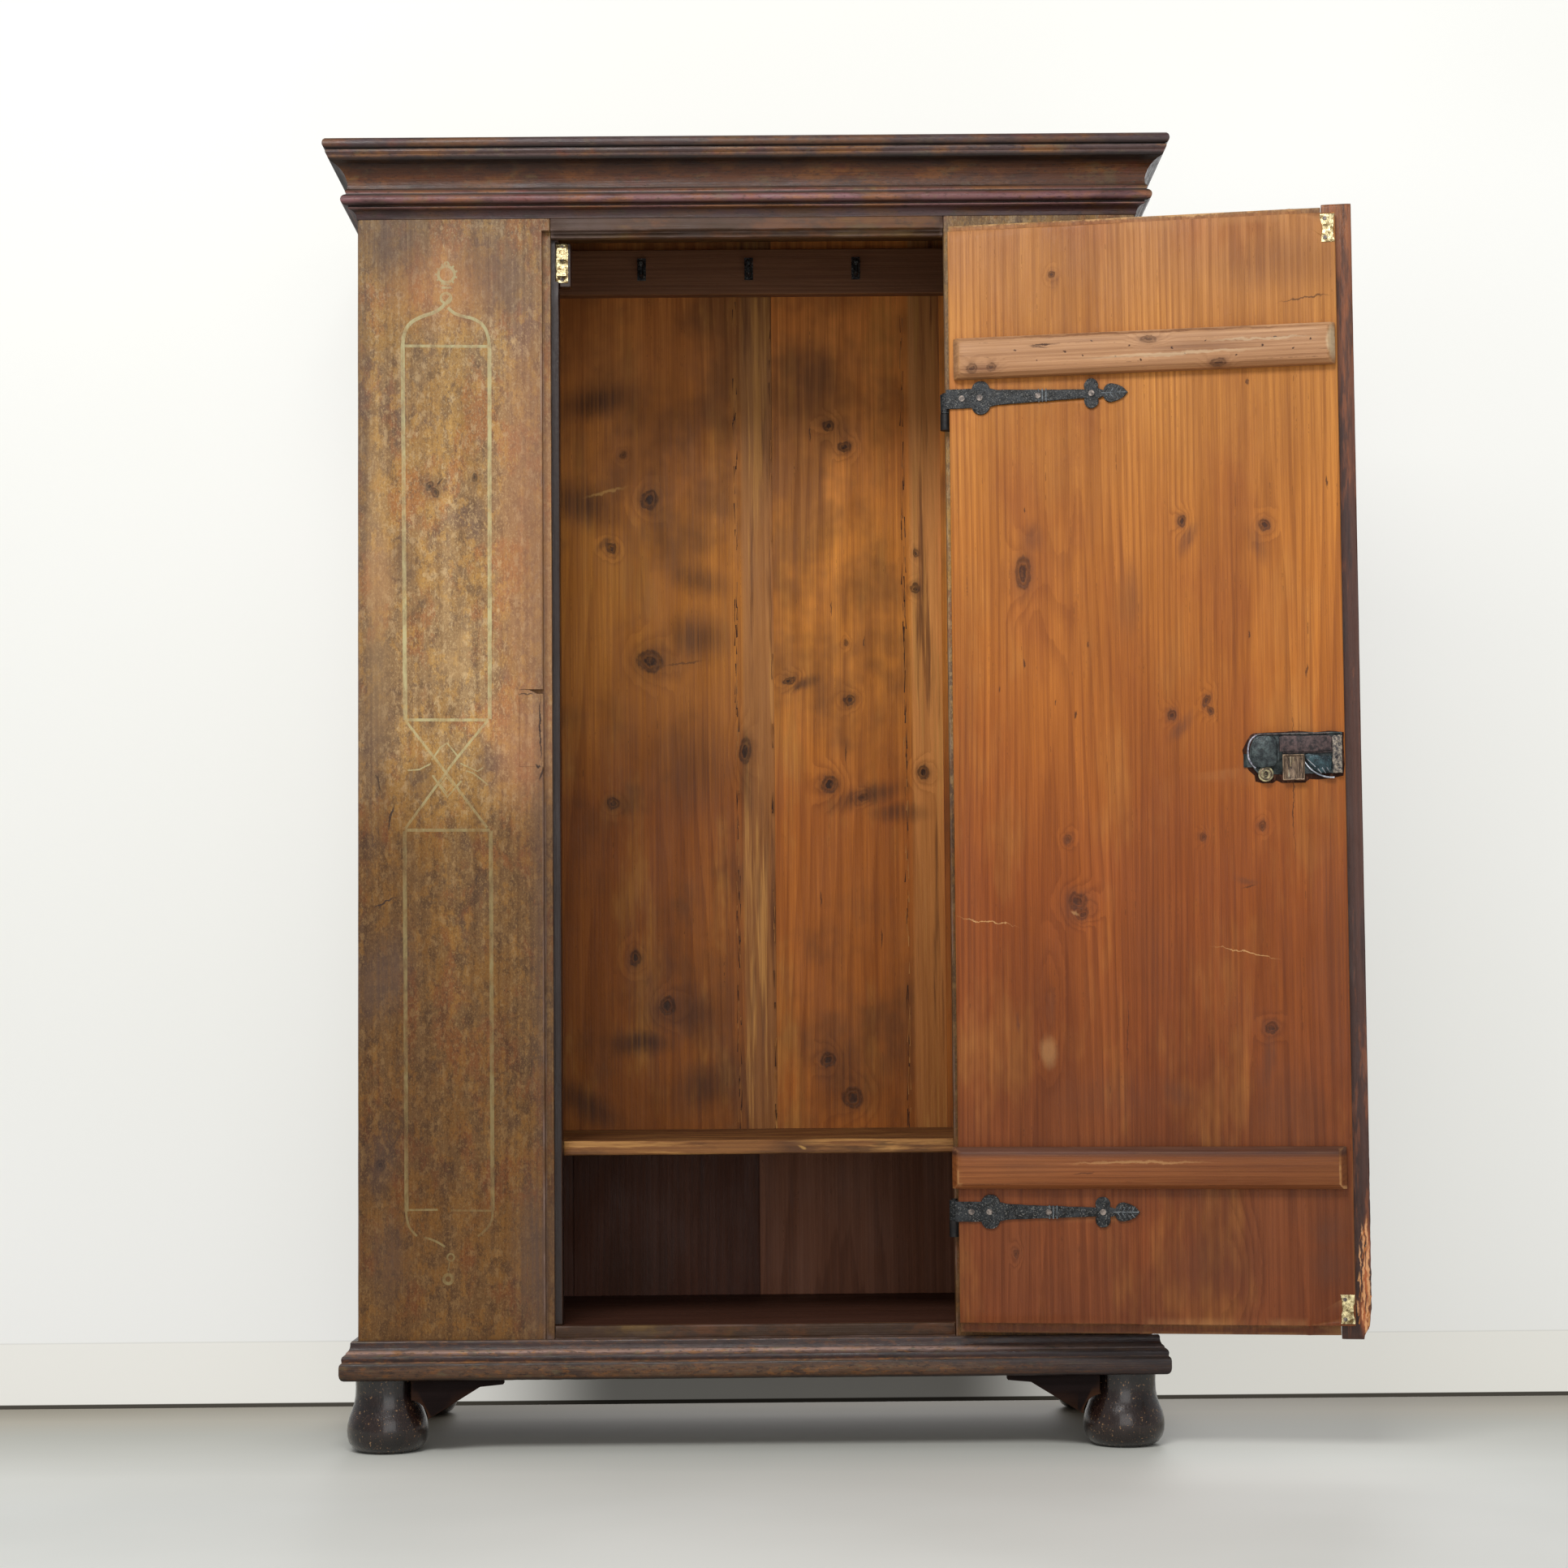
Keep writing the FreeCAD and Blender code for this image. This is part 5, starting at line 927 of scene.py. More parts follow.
# Marks of the inner side, x being the distance from the hinge edge.
door_marks = dict(
    smudge=[(120, 160, 160, 8, 0.85), (380, 160, 160, 8, 0.85), (500, 1650, 16, 10, 0.7, 20),
            (100, 1180, 15, 28, 0.5), (109, 1222, 15, 20, 0.55), (144, 1570, 6, 12, 0.5),
            (238, 1135, 16, 46, 0.45, 4), (318, 1215, 8, 24, 0.7, 24), (410, 1206, 10, 26, 0.55, -24),
            (306, 962, 8, 22, 0.6, 40), (160, 722, 18, 20, 0.5), (389, 757, 14, 4, 0.6, 10),
            (414, 520, 9, 40, 0.75, 3), (406, 495, 14, 20, 0.4), (84, 572, 2, 12, 0.7), (292, 477, 24, 16, 0.5, 30),
            (487, 296, 20, 22, 0.6), (444, 1585, 90, 34, 0.35), (489, 250, 30, 26, 0.6), (127, 593, 6, 26, 0.5),
            (260, 700, 30, 120, 0.2), (500, 700, 24, 260, 0.4), (20, 800, 16, 300, 0.25), (330, 250, 60, 40, 0.35),
            (200, 470, 90, 30, 0.3), (440, 460, 60, 50, 0.35)],
    pale=[(300, 1659, 200, 2.5, 0.6), (100, 1659, 120, 2, 0.5), (162, 716, 6, 3, 0.3, 20),
          (42, 708, 40, 0.8, 0.6, 9), (386, 662, 44, 0.8, 0.6, 12), (123, 533, 12, 22, 0.22)],
    knot=[(98, 1178, 9, 20, 0.95, 4), (140, 1580, 4, 5, 0.85), (310, 1240, 5, 7, 0.9), (420, 1230, 6, 7, 0.9),
          (294, 980, 5, 6, 0.9), (340, 996, 4, 8, 0.85, 20), (344, 984, 3, 5, 0.8, -30), (153, 817, 4, 5, 0.6),
          (165, 732, 11, 10, 0.85, 20), (172, 715, 8, 6, 0.7, -20), (332, 815, 4, 5, 0.65), (411, 830, 4, 5, 0.85),
          (418, 561, 7, 7, 0.95), (77, 264, 3, 6, 0.85)],
    tick=[(392, 750, 10, 1.2, 0.6, -12), (478, 1534, 34, 1.2, 0.7, -8), (100, 1260, 1.2, 5, 0.8),
          (98, 1054, 1.4, 6, 0.8), (140, 1001, 1.2, 4, 0.8), (165, 986, 1.4, 6, 0.8, 8), (64, 1020, 1.2, 4, 0.7),
          (184, 1079, 1.2, 5, 0.7), (401, 1424, 1.4, 5, 0.7), (503, 1284, 1.4, 8, 0.8), (472, 1035, 1.2, 8, 0.7),
          (398, 1086, 1.2, 5, 0.7), (452, 890, 0.9, 100, 0.75), (229, 560, 0.9, 44, 0.6)],
    bulge=[(142, 1292, 26, 190, 2.5), (127, 590, 16, 90, 2.5), (373, 239, 26, 80, 2.5)])
# The door's inner side darkens and reddens toward the floor and pales at the top: partly the pine's own tone and
# grime, partly a painted falloff of light with a painted sheen at the top.
LEAF_HEIGHTS = [(150, 122, 64, 34), (330, 126, 68, 34), (500, 130, 67, 26), (760, 158, 83, 28),
                (1000, 178, 103, 36), (1250, 188, 116, 46), (1480, 198, 132, 62), (1660, 184, 126, 78)]
LEAF_CLOUDS = [((160, 84, 38), 6, 3, 0.46, 0.7, 4.0, 0.45), ((196, 134, 66), 10, 3, 0.5, 0.7, 9.0, 0.35)]
LEAF_JOINTS = [(DOOR_WAY, HINGE.dot(DOOR_WAY) + along * MM, 0.3) for along in (-247.28, -469.29)]


def board_marks(first, last):
    """The marks that reach the board between two distances."""
    return {kind: [(across_door(d), z, w, h, strength, -sum(lean)) for d, z, w, h, strength, *lean in rows
                   if first - w - 12 < d < last + w + 12] for kind, rows in door_marks.items()}


# Each door board: where it starts and ends, from the hinge edge, and the middle of its rings.
LEAF_BOARDS = [(0, 239, (-140, 40)), (239, 461, (-430, 52)), (461, 520, (-560, 60))]
for number, (first, last, pith) in enumerate(LEAF_BOARDS, 1):
    board_finish = timber(f"door_board_{number}_pine", PINE, LEAF_HEIGHTS, **ON_DOOR, pith=pith, seed=20.0,
                          ring_shift=0.31 * number, marks=board_marks(first, last), clouds=LEAF_CLOUDS,
                          other_face=(OUTER_SKIN, 1, PAINT, MOTTLE, PAINT_WASH_AND_SHADE), edge_wear=0.25)
    worn_copy(f"door_board_{number}", board_finish, seed=40.0 + number, ways=LEAF_WAYS, joints=LEAF_JOINTS)


def ledge_marks(**marks):
    """Marks on a ledge, which lies across the door: its x points down."""
    return {kind: [(-z, across_door(d), *rest) for d, z, *rest in rows] for kind, rows in marks.items()}


worm_holes = [(d, z, 1.5, 1.5, 0.95) for d, z in (
    (244, 1476), (228, 1461), (262, 1455), (301, 1470), (318, 1462), (346, 1478), (180, 1464), (158, 1472),
    (196, 1484), (420, 1468), (438, 1480), (462, 1462), (386, 1457), (92, 1477), (120, 1460), (484, 1474))]
upper_ledge_marks = ledge_marks(
    knot=[(60, 1455, 5, 6, 0.8, 20), (33, 1453, 6, 7, 0.8, -15), (271, 1484, 4, 9, 0.75), (364, 1448, 4, 8, 0.9)],
    smudge=[(46, 1453, 8, 26, 0.6), (330, 1470, 8, 60, 0.35, 3), (250, 1494, 2, 260, 0.7)],
    tick=[(130, 1483, 1.2, 20, 0.95, 2), (124, 1480, 1.0, 12, 0.8, -6)] + worm_holes,
    pale=[(300, 1462, 3, 120, 0.35, 1), (420, 1478, 2, 70, 0.35), (512, 1470, 24, 6, 0.6)])
lower_ledge_marks = ledge_marks(
    smudge=[(376, 402, 4, 24, 0.8), (90, 380, 10, 40, 0.35)], pale=[(240, 386, 2, 90, 0.3)],
    tick=[(170, 372, 1.2, 14, 0.7, 4)])
ledge_finish = timber("ledge_pine", dict(PINE, pale=(218, 196, 160)), seed=27.0, marks=upper_ledge_marks, **ON_LEDGE,
                      heights=[(1440, 172, 122, 80), (1452, 194, 146, 106), (1500, 200, 154, 114)])
low_ledge_finish = timber("lower_ledge_pine", PINE, seed=28.0, marks=lower_ledge_marks, **ON_LEDGE,
                          heights=[(351, 136, 78, 40), (392, 142, 84, 46), (398, 98, 62, 48), (407, 112, 76, 60)])
worn_copy("upper_ledge", ledge_finish, along=ALONG_X, pitch=14.0, ways=LEAF_WAYS, seed=44.0)
worn_copy("lower_ledge", low_ledge_finish, along=ALONG_X, pitch=14.0, ways=LEAF_WAYS, seed=45.0)

# The closing strip's scars: distance, z, half width, half length, degrees.
strip_scars = dict(
    rust=[(535, 244, 5, 60, -2), (531, 186, 6, 24, 2)],
    pale=[(536, 292, 1.6, 22, -3), (531, 284, 1.4, 20, 2), (537, 256, 2, 24, 0), (532, 246, 1.8, 20, -4),
          (527, 262, 1.2, 16, 3), (537, 222, 2.2, 20, 2), (531, 214, 1.6, 18, -2), (526, 228, 1.2, 14, 0),
          (535, 192, 2, 16, -3), (529, 186, 1.6, 14, 2), (523, 196, 1.2, 10, 0), (533, 170, 1.8, 10, 0)],
    tick=[(534, 268, 0.9, 24, 2), (529, 238, 0.9, 22, -3), (539, 236, 0.9, 26, 0), (533, 202, 0.9, 16, 2)])
# The closing strip darkens toward the floor and lightens at the top: partly its stain, partly a painted falloff of
# light and a painted highlight on its top bevel.
strip_finish = timber("closing_strip_dark_stain", dict(DARK_STAIN, worn=(104, 84, 80), pale=(222, 160, 108)),
                      [(150, 70, 40, 30), (1250, 82, 46, 32), (1400, 112, 62, 34), (1600, 150, 88, 46),
                       (1663, 158, 100, 58)], **ON_DOOR, seed=29.0,
                      clouds=[((50, 30, 26), 70, 8, 0.5, 0.64, 3.0, 0.7),
                              ((150, 84, 44), 90, 12, 0.54, 0.66, 9.0, 0.5)],
                      marks={kind: [(across_door(d), z, w, h, 0.95, lean) for d, z, w, h, lean in rows]
                             for kind, rows in strip_scars.items()})
BROKEN_EDGE = [(150, 529), (160, 532), (172, 538), (200, 540.5), (400, 541.5)]   # height, distance


def splintered_end(bm):
    """The strip's lower outer edge is split away."""
    for v in bm.verts:
        z = v.co.z / MM
        for (low, near), (high, far) in zip(BROKEN_EDGE, BROKEN_EDGE[1:]):
            if low <= z <= high and z < BROKEN_EDGE[-1][0]:
                limit = near + (far - near) * (z - low) / (high - low) + 1.6 * noise.noise(Vector((3.1, 0, z * 0.09)))
                v.co += DOOR_WAY * max(0.0, from_hinge_edge(v.co) - limit) * MM


worn_copy("closing_strip", strip_finish, shape=splintered_end, pitch=4.5, ways=LEAF_WAYS, seed=46.0)
bare_wood = timber("bare_torn_pine", PINE, [(150, 196, 122, 64), (400, 188, 112, 56)], **ON_DOOR, seed=52.0,
                   clouds=[((232, 176, 116), 120, 20, 0.5, 0.6, 3.0, 0.8),
                           ((110, 60, 30), 160, 24, 0.5, 0.6, 7.0, 0.8)])
torn_places = [(draw.uniform(523, 538), draw.uniform(180, 306), draw.uniform(12, 34), draw.uniform(1.6, 3.4),
                draw.choice((0, 180)) + draw.uniform(3, 16)) for _ in range(52)]
slivers("strip_bare_splinters", torn_places[:26], on_inside(INNER_LIFT, 0.5), bare_wood, "door")
slivers("strip_dark_splinters", torn_places[26:], on_inside(INNER_LIFT, 0.5), strip_finish, "door")

# The stile's lines again, drawn wider, on the door's outer side.
LEAF_MIDDLE, LEAF_STRETCH = -268.5, 1.9
leaf_inlay_finish = old_paint("leaf_inlay_chalky", **ON_DOOR, **INLAID, seed=20.0)
line_inlay("door_inlay", reshaped(PANEL_LINES, LEAF_STRETCH), leaf_inlay_finish, "door",
           on_outside(LEAF_MIDDLE, OUTER_LIFT))

# ---------------------------------------------------------------- ironwork, brass

# Black iron: its pale specks are painted glints.
black_iron = metal("black_iron", (10, 11, 12), (44, 47, 50), 0.36, 0.0, spread=110, relief=0.0024,
                   specks_and_glints=(146, 144, 138), glint=0.55, shine=0.25)
# Near-black iron for the pintles: partly dark iron, partly painted shade of the hinge edge they sit in.
dark_iron = metal("dark_iron", (20, 18, 18), (34, 30, 28), 0.6, 0.2)
bright_iron = metal("rubbed_iron", (48, 52, 56), (116, 122, 126), 0.36, 0.2, spread=160)
lock_metal = metal("lock_iron", (18, 26, 30), (66, 76, 76), 0.36, 0.4, spread=110, relief=0.0014, specks_and_glints=(96, 92, 84))
teal_iron = metal("blued_spring_iron", (16, 30, 36), (50, 74, 80), 0.3, 0.5, spread=150, relief=0.0012)
rusty_shaded_iron = metal("rusty_shaded_bolt_iron", (34, 26, 28), (92, 72, 70), 0.5, 0.3, spread=140, relief=0.0012,
                   specks_and_glints=(22, 16, 18))
speckled_plate = metal("speckled_plate", (44, 42, 46), (160, 146, 130), 0.45, 0.35, spread=300, relief=0.0012,
                       specks_and_glints=(24, 24, 30))
bright_spring = metal("spring_steel", (96, 100, 108), (190, 194, 200), 0.3, 0.7)
# The pale rim on the lock's round end is a painted highlight.
pale_rim = metal("pale_rim_highlight", (110, 108, 124), (214, 212, 222), 0.35, 0.3, spread=160)
dull_rim = metal("dull_worn_rim", (60, 52, 52), (132, 116, 112), 0.45, 0.3, spread=200, specks_and_glints=(40, 32, 32))
old_bronze = metal("old_bronze", (58, 44, 38), (168, 142, 116), 0.34, 0.45, spread=160, relief=0.0012,
                   specks_and_glints=(40, 28, 26), stretch=0.3)
# Pale bronze for the staple's glints: painted highlights.
bright_bronze = metal("glint_bronze", (150, 130, 100), (240, 228, 196), 0.3, 0.4, spread=180, specks_and_glints=(80, 60, 46),
                      stretch=0.4)
pin_bronze = metal("key_pin_bronze", (74, 70, 52), (176, 164, 122), 0.4, 0.5, spread=150, specks_and_glints=(44, 40, 32))
new_brass = metal("catch_brass", (96, 72, 34), (240, 224, 172), 0.26, 0.7, spread=150, relief=0.0016,
                  specks_and_glints=(62, 44, 24))
dull_steel = metal("screw_steel", (70, 62, 58), (156, 142, 132), 0.4, 0.3, spread=200)
for node, finish in dict(
        coat_hooks=black_iron, upper_pintle=dark_iron, lower_pintle=dark_iron, lock_tumbler=lock_metal,
        lock_bolt=rusty_shaded_iron, lock_spring=bright_spring, lock_key_pin=pin_bronze, catch_body=new_brass,
        scutcheon=new_brass, upper_catch_ball=dull_steel, lower_catch_ball=dull_steel, frame_screws=dull_steel,
        door_screws=dull_steel).items():
    refinish(node, finish)


def catch_spring(node):
    """A catch spring, copied with its own mesh in place of the CAD piece."""
    piece = stand_in(joined(node), node, node + "_sleeve", bright_spring, soft=40)
    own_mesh(piece)


catch_spring("upper_catch_spring")
catch_spring("lower_catch_spring")


def hammered(bm):
    """Uneven hammered skin, never proud of the forging."""
    bm.normal_update()
    moves = [(v, v.normal * -0.7 * MM * smooth_share(noise.noise(v.co * 90), -0.2, 0.6)) for v in bm.verts]
    for v, move in moves:
        v.co += move


STRIKE_LINE = 509.5                             # middle of both strikes, from the hinge edge, mm
LOW_STRIKE, HIGH_STRIKE = 194, 1624             # and above the floor


def crumpled(bm):
    """Thin brass bent and pinched by many years of catching, never prouder than it was."""
    for v in bm.verts:
        d, z = from_hinge_edge(v.co), v.co.z / MM
        middle = min(LOW_STRIKE, HIGH_STRIKE, key=lambda height: abs(z - height))
        waist = 1 - min(1.0, abs(z - middle) / 22)
        wobble = 1.6 * noise.noise(Vector((z * 0.11, 2.2, 0)))
        v.co -= DOOR_WAY * MM * (wobble - 0.3 * waist * (d - STRIKE_LINE))
        v.co -= DOOR_THROUGH * MM * 0.5 * smooth_share(noise.noise(v.co * 160), -0.2, 0.5)


def forged(node, finish, **wearing):
    """A copy of a piece of iron or brass, rubbed finely."""
    return worn_copy(node, finish, ways=(), **wearing)


for node in ("upper_hinge_strap", "lower_hinge_strap"):
    forged(node, black_iron, along=ALONG_X, ease=0.9, wear=0.3, pitch=9.0, shortest=0.8, seed=60.0, shape=hammered)


def strap_lines(z):
    """A strap's drawing about its middle line: leaf veins, their stem and the collar's ridges."""
    veins = [straight(1.3, (d, z - 1), (d + 5, z + way * 7.5)) for d in (212, 218, 224, 230) for way in (1, -1)]
    collar = [(d, 7.5 + 0.02 * (200 - d)) for d in (122, 127, 132)]
    return veins + [straight(1.5, (206, z), (240, z))] + [straight(1.8, (d, z - w), (d, z + w)) for d, w in collar]


STRAP_TOP = 36.5                                # lifts are measured through the door, mm
LOCK_TOP = 42.5                                 # the lock case's open side
for z in (1416.4, 319.9):
    line_inlay(f"strap_leaf_veins_{round(z)}", strap_lines(z), bright_iron, "door", on_inside(STRAP_TOP),
               flat=0.6)
forged("strikes", new_brass, ease=0.3, wear=0.2, pitch=2.4, shortest=0.8, seed=61.0, shape=crumpled)
forged("lock_case", lock_metal, along=ALONG_X, ease=0.8, wear=0.5, pitch=6.0, shortest=1.0, seed=62.0)
forged("lock_staple", old_bronze, ease=0.8, wear=0.6, pitch=4.0, shortest=3.0, seed=63.0)


def plate(name, outline, base, thick, finish, ease=0.5, pins=()):
    """A thin piece cut to an outline of (distance, z) and laid on the door's inner side at a depth."""
    bm = bmesh.new()
    face = bm.faces.new([bm.verts.new(leaf_place(across_door(d), base, z)) for d, z in outline])
    raised = [g for g in bmesh.ops.extrude_face_region(bm, geom=[face])["geom"] if isinstance(g, bmesh.types.BMVert)]
    bmesh.ops.translate(bm, verts=raised, vec=DOOR_THROUGH * thick * MM)
    rim = [e for e in bm.edges if e.verts[0] in raised and e.verts[1] in raised]
    bmesh.ops.bevel(bm, geom=rim, offset=ease * MM, offset_type="OFFSET", segments=2, profile=0.5, affect="EDGES",
                    clamp_overlap=True, material=-1)
    bmesh.ops.triangulate(bm, faces=[f for f in bm.faces if len(f.verts) > 4], ngon_method="EAR_CLIP")
    for d, z, radius in pins:
        bmesh.ops.create_uvsphere(bm, u_segments=12, v_segments=8, radius=radius * MM,
                                  matrix=Matrix.Translation(leaf_place(across_door(d), base + thick, z)))
    return to_object(bm, name, finish, "door", soft=30)


plate("lock_cover", [(399, 909), (404, 906), (412, 905), (428, 907), (431, 912), (431, 941), (428, 946), (416, 948.5),
                     (406, 947.5), (399.5, 942), (397, 930), (397, 918)],
      LOCK_TOP - 0.4, 3.2, lock_metal, ease=1.6)
# The bolt and its channel are purple-brown: partly rust, partly painted shade of the bolt's recess.
plate("lock_rusty_shaded_channel", [(434.5, 926.5), (434.5, 946), (440, 947.5), (470, 946.5), (499, 947), (502.5, 944),
                            (502, 927), (470, 925.5)], LOCK_TOP - 0.5, 1.1, rusty_shaded_iron, ease=0.4)
plate("lock_end_plate", [(503, 944), (505, 946.5), (509, 945.6), (512, 947), (516, 946), (515.4, 938), (516, 930),
                         (515.2, 921), (516, 910), (515.4, 902), (515.8, 896.5), (511, 897.2), (507, 896.2),
                         (503.4, 897.5), (504, 906), (502.6, 914), (503.6, 926)],
      LOCK_TOP - 0.3, 1.5, speckled_plate,
      pins=[(509.3, 918, 1.7), (509.3, 907, 1.7), (509.6, 938, 1.3)])
plate("lock_blued_leaf", [(466, 921), (472, 923), (486, 920), (502, 919), (502, 908), (501, 901), (496, 898),
                          (490, 897.4), (484, 899), (478, 903), (472, 910)],
      LOCK_TOP - 0.4, 1.9, teal_iron, ease=0.8)


def lock_lines(name, lift, finish, slot, *runs):
    """Raised lines on the open lock."""
    return line_inlay(name, runs, finish, "door", on_inside(lift), flat=0.9)


KEY_PIN = (416, 897)
lock_lines("lock_rim", LOCK_TOP, pale_rim, "lock_iron",
           smooth(2.4, (405, 949), (399, 945.5), (394.8, 939), (393, 930), (393.4, 919), (397, 911), (403, 905.5)))
lock_lines("lock_top_rim", LOCK_TOP, dull_rim, "lock_iron",
           smooth(1.3, (405, 949.6), (430, 949.8), (462, 949.2), (500, 949.8)))
lock_lines("spring_glints", LOCK_TOP + 1.5, bright_spring, "spring_steel",
           straight(1.5, (484, 902.5), (488.6, 896.5)), straight(1.7, (489.5, 904), (494, 896.3)),
           straight(1.5, (495.5, 904), (499.5, 898)), straight(1.2, (470, 916), (481, 905)))
lock_lines("key_pin_rings", LOCK_TOP + 0.4, old_bronze, "bronze",
           ring_run(*KEY_PIN, 7.4, 2.0), ring_run(*KEY_PIN, 3.4, 1.6, 8))
lock_lines("staple_ridges", LOCK_TOP + 3.2, old_bronze, "bronze", *(
    straight(1.7, (d, 920), (d + lean, 890))
    for d, lean in ((441, 0.3), (444.6, -0.4), (455.5, 0.5), (459.8, 0.4), (463.6, 0))))
lock_lines("staple_glints", LOCK_TOP + 3.3, bright_bronze, "bronze",
           straight(2.2, (448.4, 919), (448.7, 906)), straight(1.8, (452, 918), (452.4, 911)),
           straight(1.2, (446, 902), (446.2, 892)))
# A dark ragged lip round the lock: partly the torn wood of its mortise, partly a painted shadow round the lock.
mortise_wood_and_shadow = timber("mortise_torn_wood_and_shadow", dict(PINE, sheen=0.08), [(880, 52, 28, 18), (960, 58, 32, 22)], **ON_DOOR,
                      seed=54.0, clouds=[((116, 76, 58), 200, 60, 0.52, 0.64, 3.0, 0.7)])
mortise = [(389, 912), (386.5, 921), (386.8, 931), (390.5, 941), (396, 949), (402, 953), (418, 953.6), (440, 952.4),
           (458, 954), (480, 952.6), (500, 953.8), (508, 951.6), (518, 951), (519, 940), (517.6, 926), (519, 908),
           (518, 894), (506, 892.4), (500, 889.4), (484, 888.6), (472, 891), (468, 885.6), (452, 884.4), (436, 885.4),
           (431, 890), (424, 885.6), (412, 884.6), (403, 888.6), (400, 897), (394, 903)]
ragged_mortise = [(d + 1.1 * math.sin(i * 2.3), z + 1.0 * math.cos(i * 1.7)) for i, (d, z) in enumerate(mortise)]
MORTISE_LIFT = 32.3
plate("lock_mortise_lip_and_shadow", ragged_mortise, MORTISE_LIFT, 0.9, mortise_wood_and_shadow, ease=0.3)

# ---------------------------------------------------------------- studio

WALL_PLACE = 0.345                              # the studio is in metres
SHEET = 9.0
SKIRTING = 0.098


def pale_floor():
    floor = Bench("pale_floor")
    worn = floor.grain(floor.place, (1.2, 1.2, 1.2), 3, 0.5).outputs[0]
    x, depth, _ = floor.apart(floor.place)
    reach = floor.add("MapRange", {0: depth, 1: -0.6, 2: 0.42}).outputs[0]
    # The ramp darkens to a browner band along the wall: painted shade where floor meets wall.
    boards = floor.ramp(reach, [(0.0, tone(242, 244, 239)), (0.235, tone(243, 244, 237)), (0.62, tone(212, 212, 201)),
                                (0.78, tone(205, 198, 180)), (0.94, tone(160, 150, 128)), (1.0, tone(236, 236, 229))])
    boards = floor.mix(floor.step(worn, 0.3, 0.7, 0.0, 0.25), boards, tone(200, 202, 194))
    # painted shade: the ground under the case and up to the wall is darkened where the case's shadow falls
    aside = floor.math("ABSOLUTE", floor.plus(x, 0.116))
    painted_shade_under_case = floor.times(floor.step(aside, 0.66, 0.4), floor.step(depth, -0.06, 0.16, 0.0, 0.62))
    painted_shade_under_case = floor.times(painted_shade_under_case, floor.step(depth, 0.42, 0.36))
    return floor.finish(floor.mix(painted_shade_under_case, boards, tone(106, 90, 62)), 0.6)


def white_wall():
    """A wall that glows for the camera alone, and that is clear from behind."""
    wall = Bench("white_wall")
    cloud = wall.grain(wall.place, (0.7, 0.7, 0.7), 2, 0.5).outputs[0]
    x, _, level = wall.apart(wall.place)
    paint = wall.mix(wall.step(cloud, 0.3, 0.7), tone(243, 243, 238), tone(248, 248, 245))
    groove = wall.step(wall.math("ABSOLUTE", wall.minus(level, SKIRTING)), 0.0016, 0.0004, 0.0, 0.2)
    paint = wall.mix(groove, paint, tone(150, 150, 142))
    paint = wall.mix(wall.step(level, SKIRTING + 0.002, SKIRTING - 0.002, 0.0, 0.35), paint, tone(240, 236, 222))
    paint = wall.mix(wall.step(level, 0.007, 0.0055), paint, tone(70, 66, 58))
    above = wall.step(level, SKIRTING - 0.002, SKIRTING + 0.002)
    # Below the skirting the glow fades toward the case's middle, darkening the wall behind the case: painted shade
    # added to the real shadow in its lit part. The glow also grows higher up, a painted falloff of light on the wall.
    beside = wall.step(wall.math("ABSOLUTE", wall.plus(x, 0.075)), 0.25, 0.5, 0.09, 1.0)
    wall.finish(wall.mix(0.68, paint, tone(0, 0, 0)), 0.8)
    wall.feed(wall.shader.inputs["Emission Color"], paint)
    only_seen = wall.add("LightPath").outputs["Is Camera Ray"]
    glow = wall.add("MapRange", {0: level, 1: 0.1, 2: 1.9, 3: 0.62, 4: 0.79}).outputs[0]
    glow = wall.times(glow, wall.math("MAXIMUM", above, beside))
    wall.feed(wall.shader.inputs["Emission Strength"], wall.times(only_seen, glow))
    behind = wall.add("NewGeometry").outputs["Backfacing"]
    glass = wall.add("BsdfTransparent")
    either = wall.add("MixShader", {0: behind, 1: wall.shader.outputs[0], 2: glass.outputs[0]})
    wall.links.new(either.outputs[0], wall.nodes["Material Output"].inputs[0])
    return wall.material


def sheet(name, half_size, place, turn, finish):
    """A large flat sheet, turned about the x axis."""
    bm = bmesh.new()
    bmesh.ops.create_grid(bm, x_segments=1, y_segments=1, size=half_size)
    bmesh.ops.rotate(bm, verts=bm.verts, matrix=Matrix.Rotation(math.radians(turn), 3, "X"))
    bmesh.ops.translate(bm, verts=bm.verts, vec=place)
    mesh = bpy.data.meshes.new(name)
    bm.to_mesh(mesh)
    bm.free()
    mesh.materials.append(finish)
    holder = bpy.data.objects.new(name, mesh)
    bpy.context.scene.collection.objects.link(holder)
    return holder


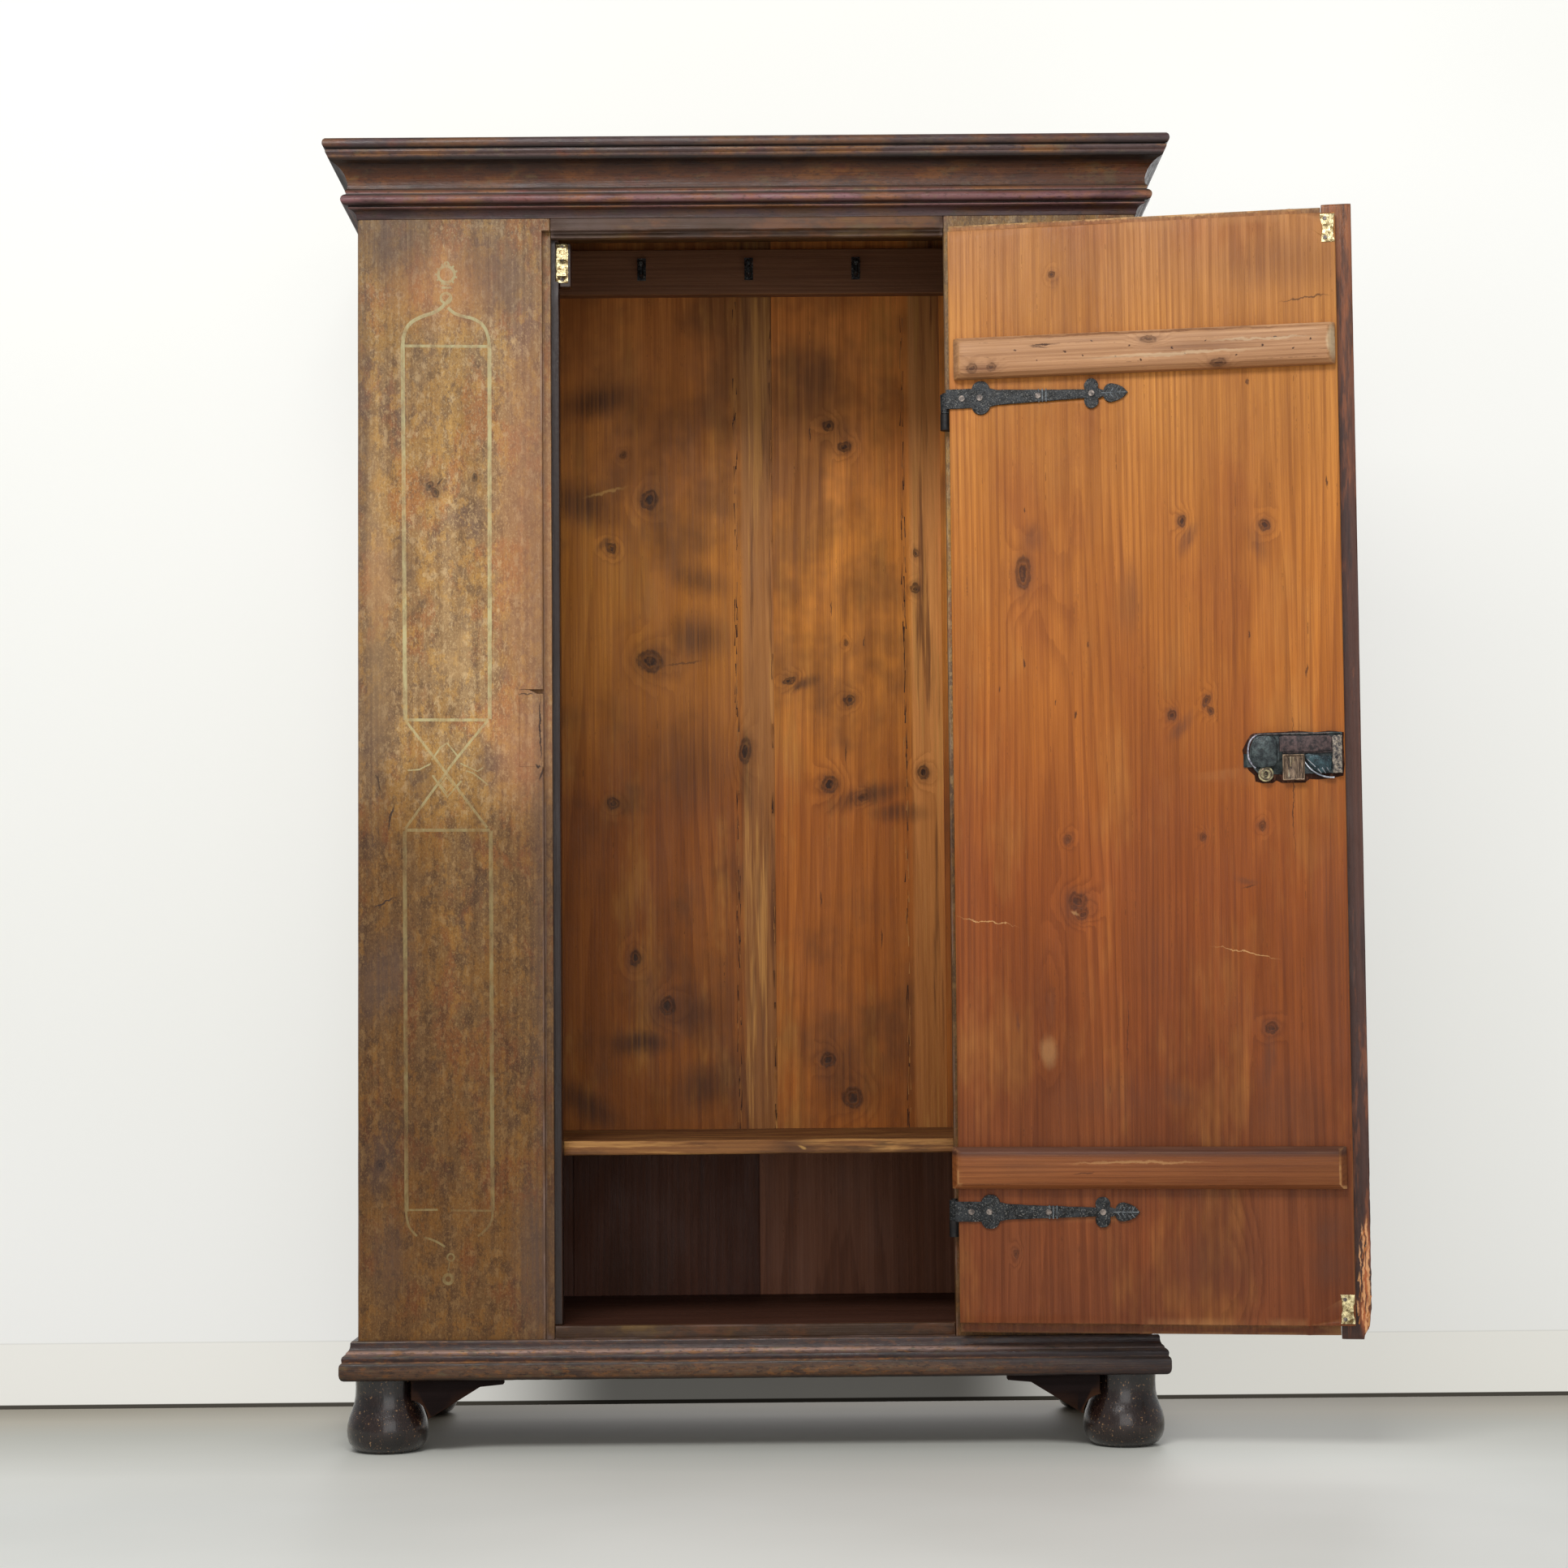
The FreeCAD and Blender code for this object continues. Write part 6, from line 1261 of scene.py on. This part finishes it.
def lamp(name, place, aim, size, power):
    light = bpy.data.lights.new(name, "AREA")
    light.shape, light.size, light.size_y, light.energy = "RECTANGLE", *size, power
    light.spread = math.pi
    holder = bpy.data.objects.new(name, light)
    bpy.context.scene.collection.objects.link(holder)
    holder.location = place
    holder.rotation_euler = (Vector(aim) - Vector(place)).to_track_quat("-Z", "Y").to_euler()


def studio():
    """Pale floor and wall, even air and soft lamps."""
    sheet("studio_floor", SHEET, (0, 0, 0), 0.0, pale_floor())
    backdrop = sheet("studio_wall", SHEET / 2, (0, WALL_PLACE, SHEET / 2), 90.0, white_wall())
    backdrop.visible_diffuse = backdrop.visible_glossy = backdrop.visible_shadow = False
    world = bpy.data.worlds.new("studio_air")
    bpy.context.scene.world = world
    world.use_nodes = True
    air = world.node_tree.nodes["Background"].inputs
    air["Color"].default_value = (1, 1, 1, 1)
    air["Strength"].default_value = 0.36
    middle = (0, 0, 0.9)
    lamp("ceiling_lamp", (-0.8, -2.9, 3.1), middle, (2.0, 1.0), 72)
    lamp("front_fill", (0.3, -4.6, 1.3), middle, (3.0, 2.4), 38)
    lamp("back_fill", (0.4, 4.4, 2.4), middle, (3.0, 2.4), 60)


def camera():
    """The photograph's view: a long lens at waist height, tilted up a little."""
    yaw, tilt, roll = 0.0053, 0.058, -0.0084
    place, frame_width, focal_length, rise = (-93.93, -4271.7, 578.1), 1932, 3727, 74   # mm, then pixels
    ahead = Vector((math.sin(yaw) * math.cos(tilt), math.cos(yaw) * math.cos(tilt), math.sin(tilt)))
    level = Vector((math.cos(yaw), -math.sin(yaw), 0))
    above = level.cross(ahead)
    right = level * math.cos(roll) + above * math.sin(roll)
    up = above * math.cos(roll) - level * math.sin(roll)
    lens = bpy.data.cameras.new("photo_lens")
    lens.sensor_width = 36
    lens.lens = focal_length / frame_width * 36
    lens.shift_y = rise / frame_width
    lens.clip_end = 60
    holder = bpy.data.objects.new("photo_camera", lens)
    bpy.context.scene.collection.objects.link(holder)
    holder.matrix_world = Matrix.Translation(Vector(place) * MM) @ Matrix((right, up, -ahead)).transposed().to_4x4()
    bpy.context.scene.camera = holder


studio()
camera()
bpy.context.scene.view_settings.view_transform = "Standard"
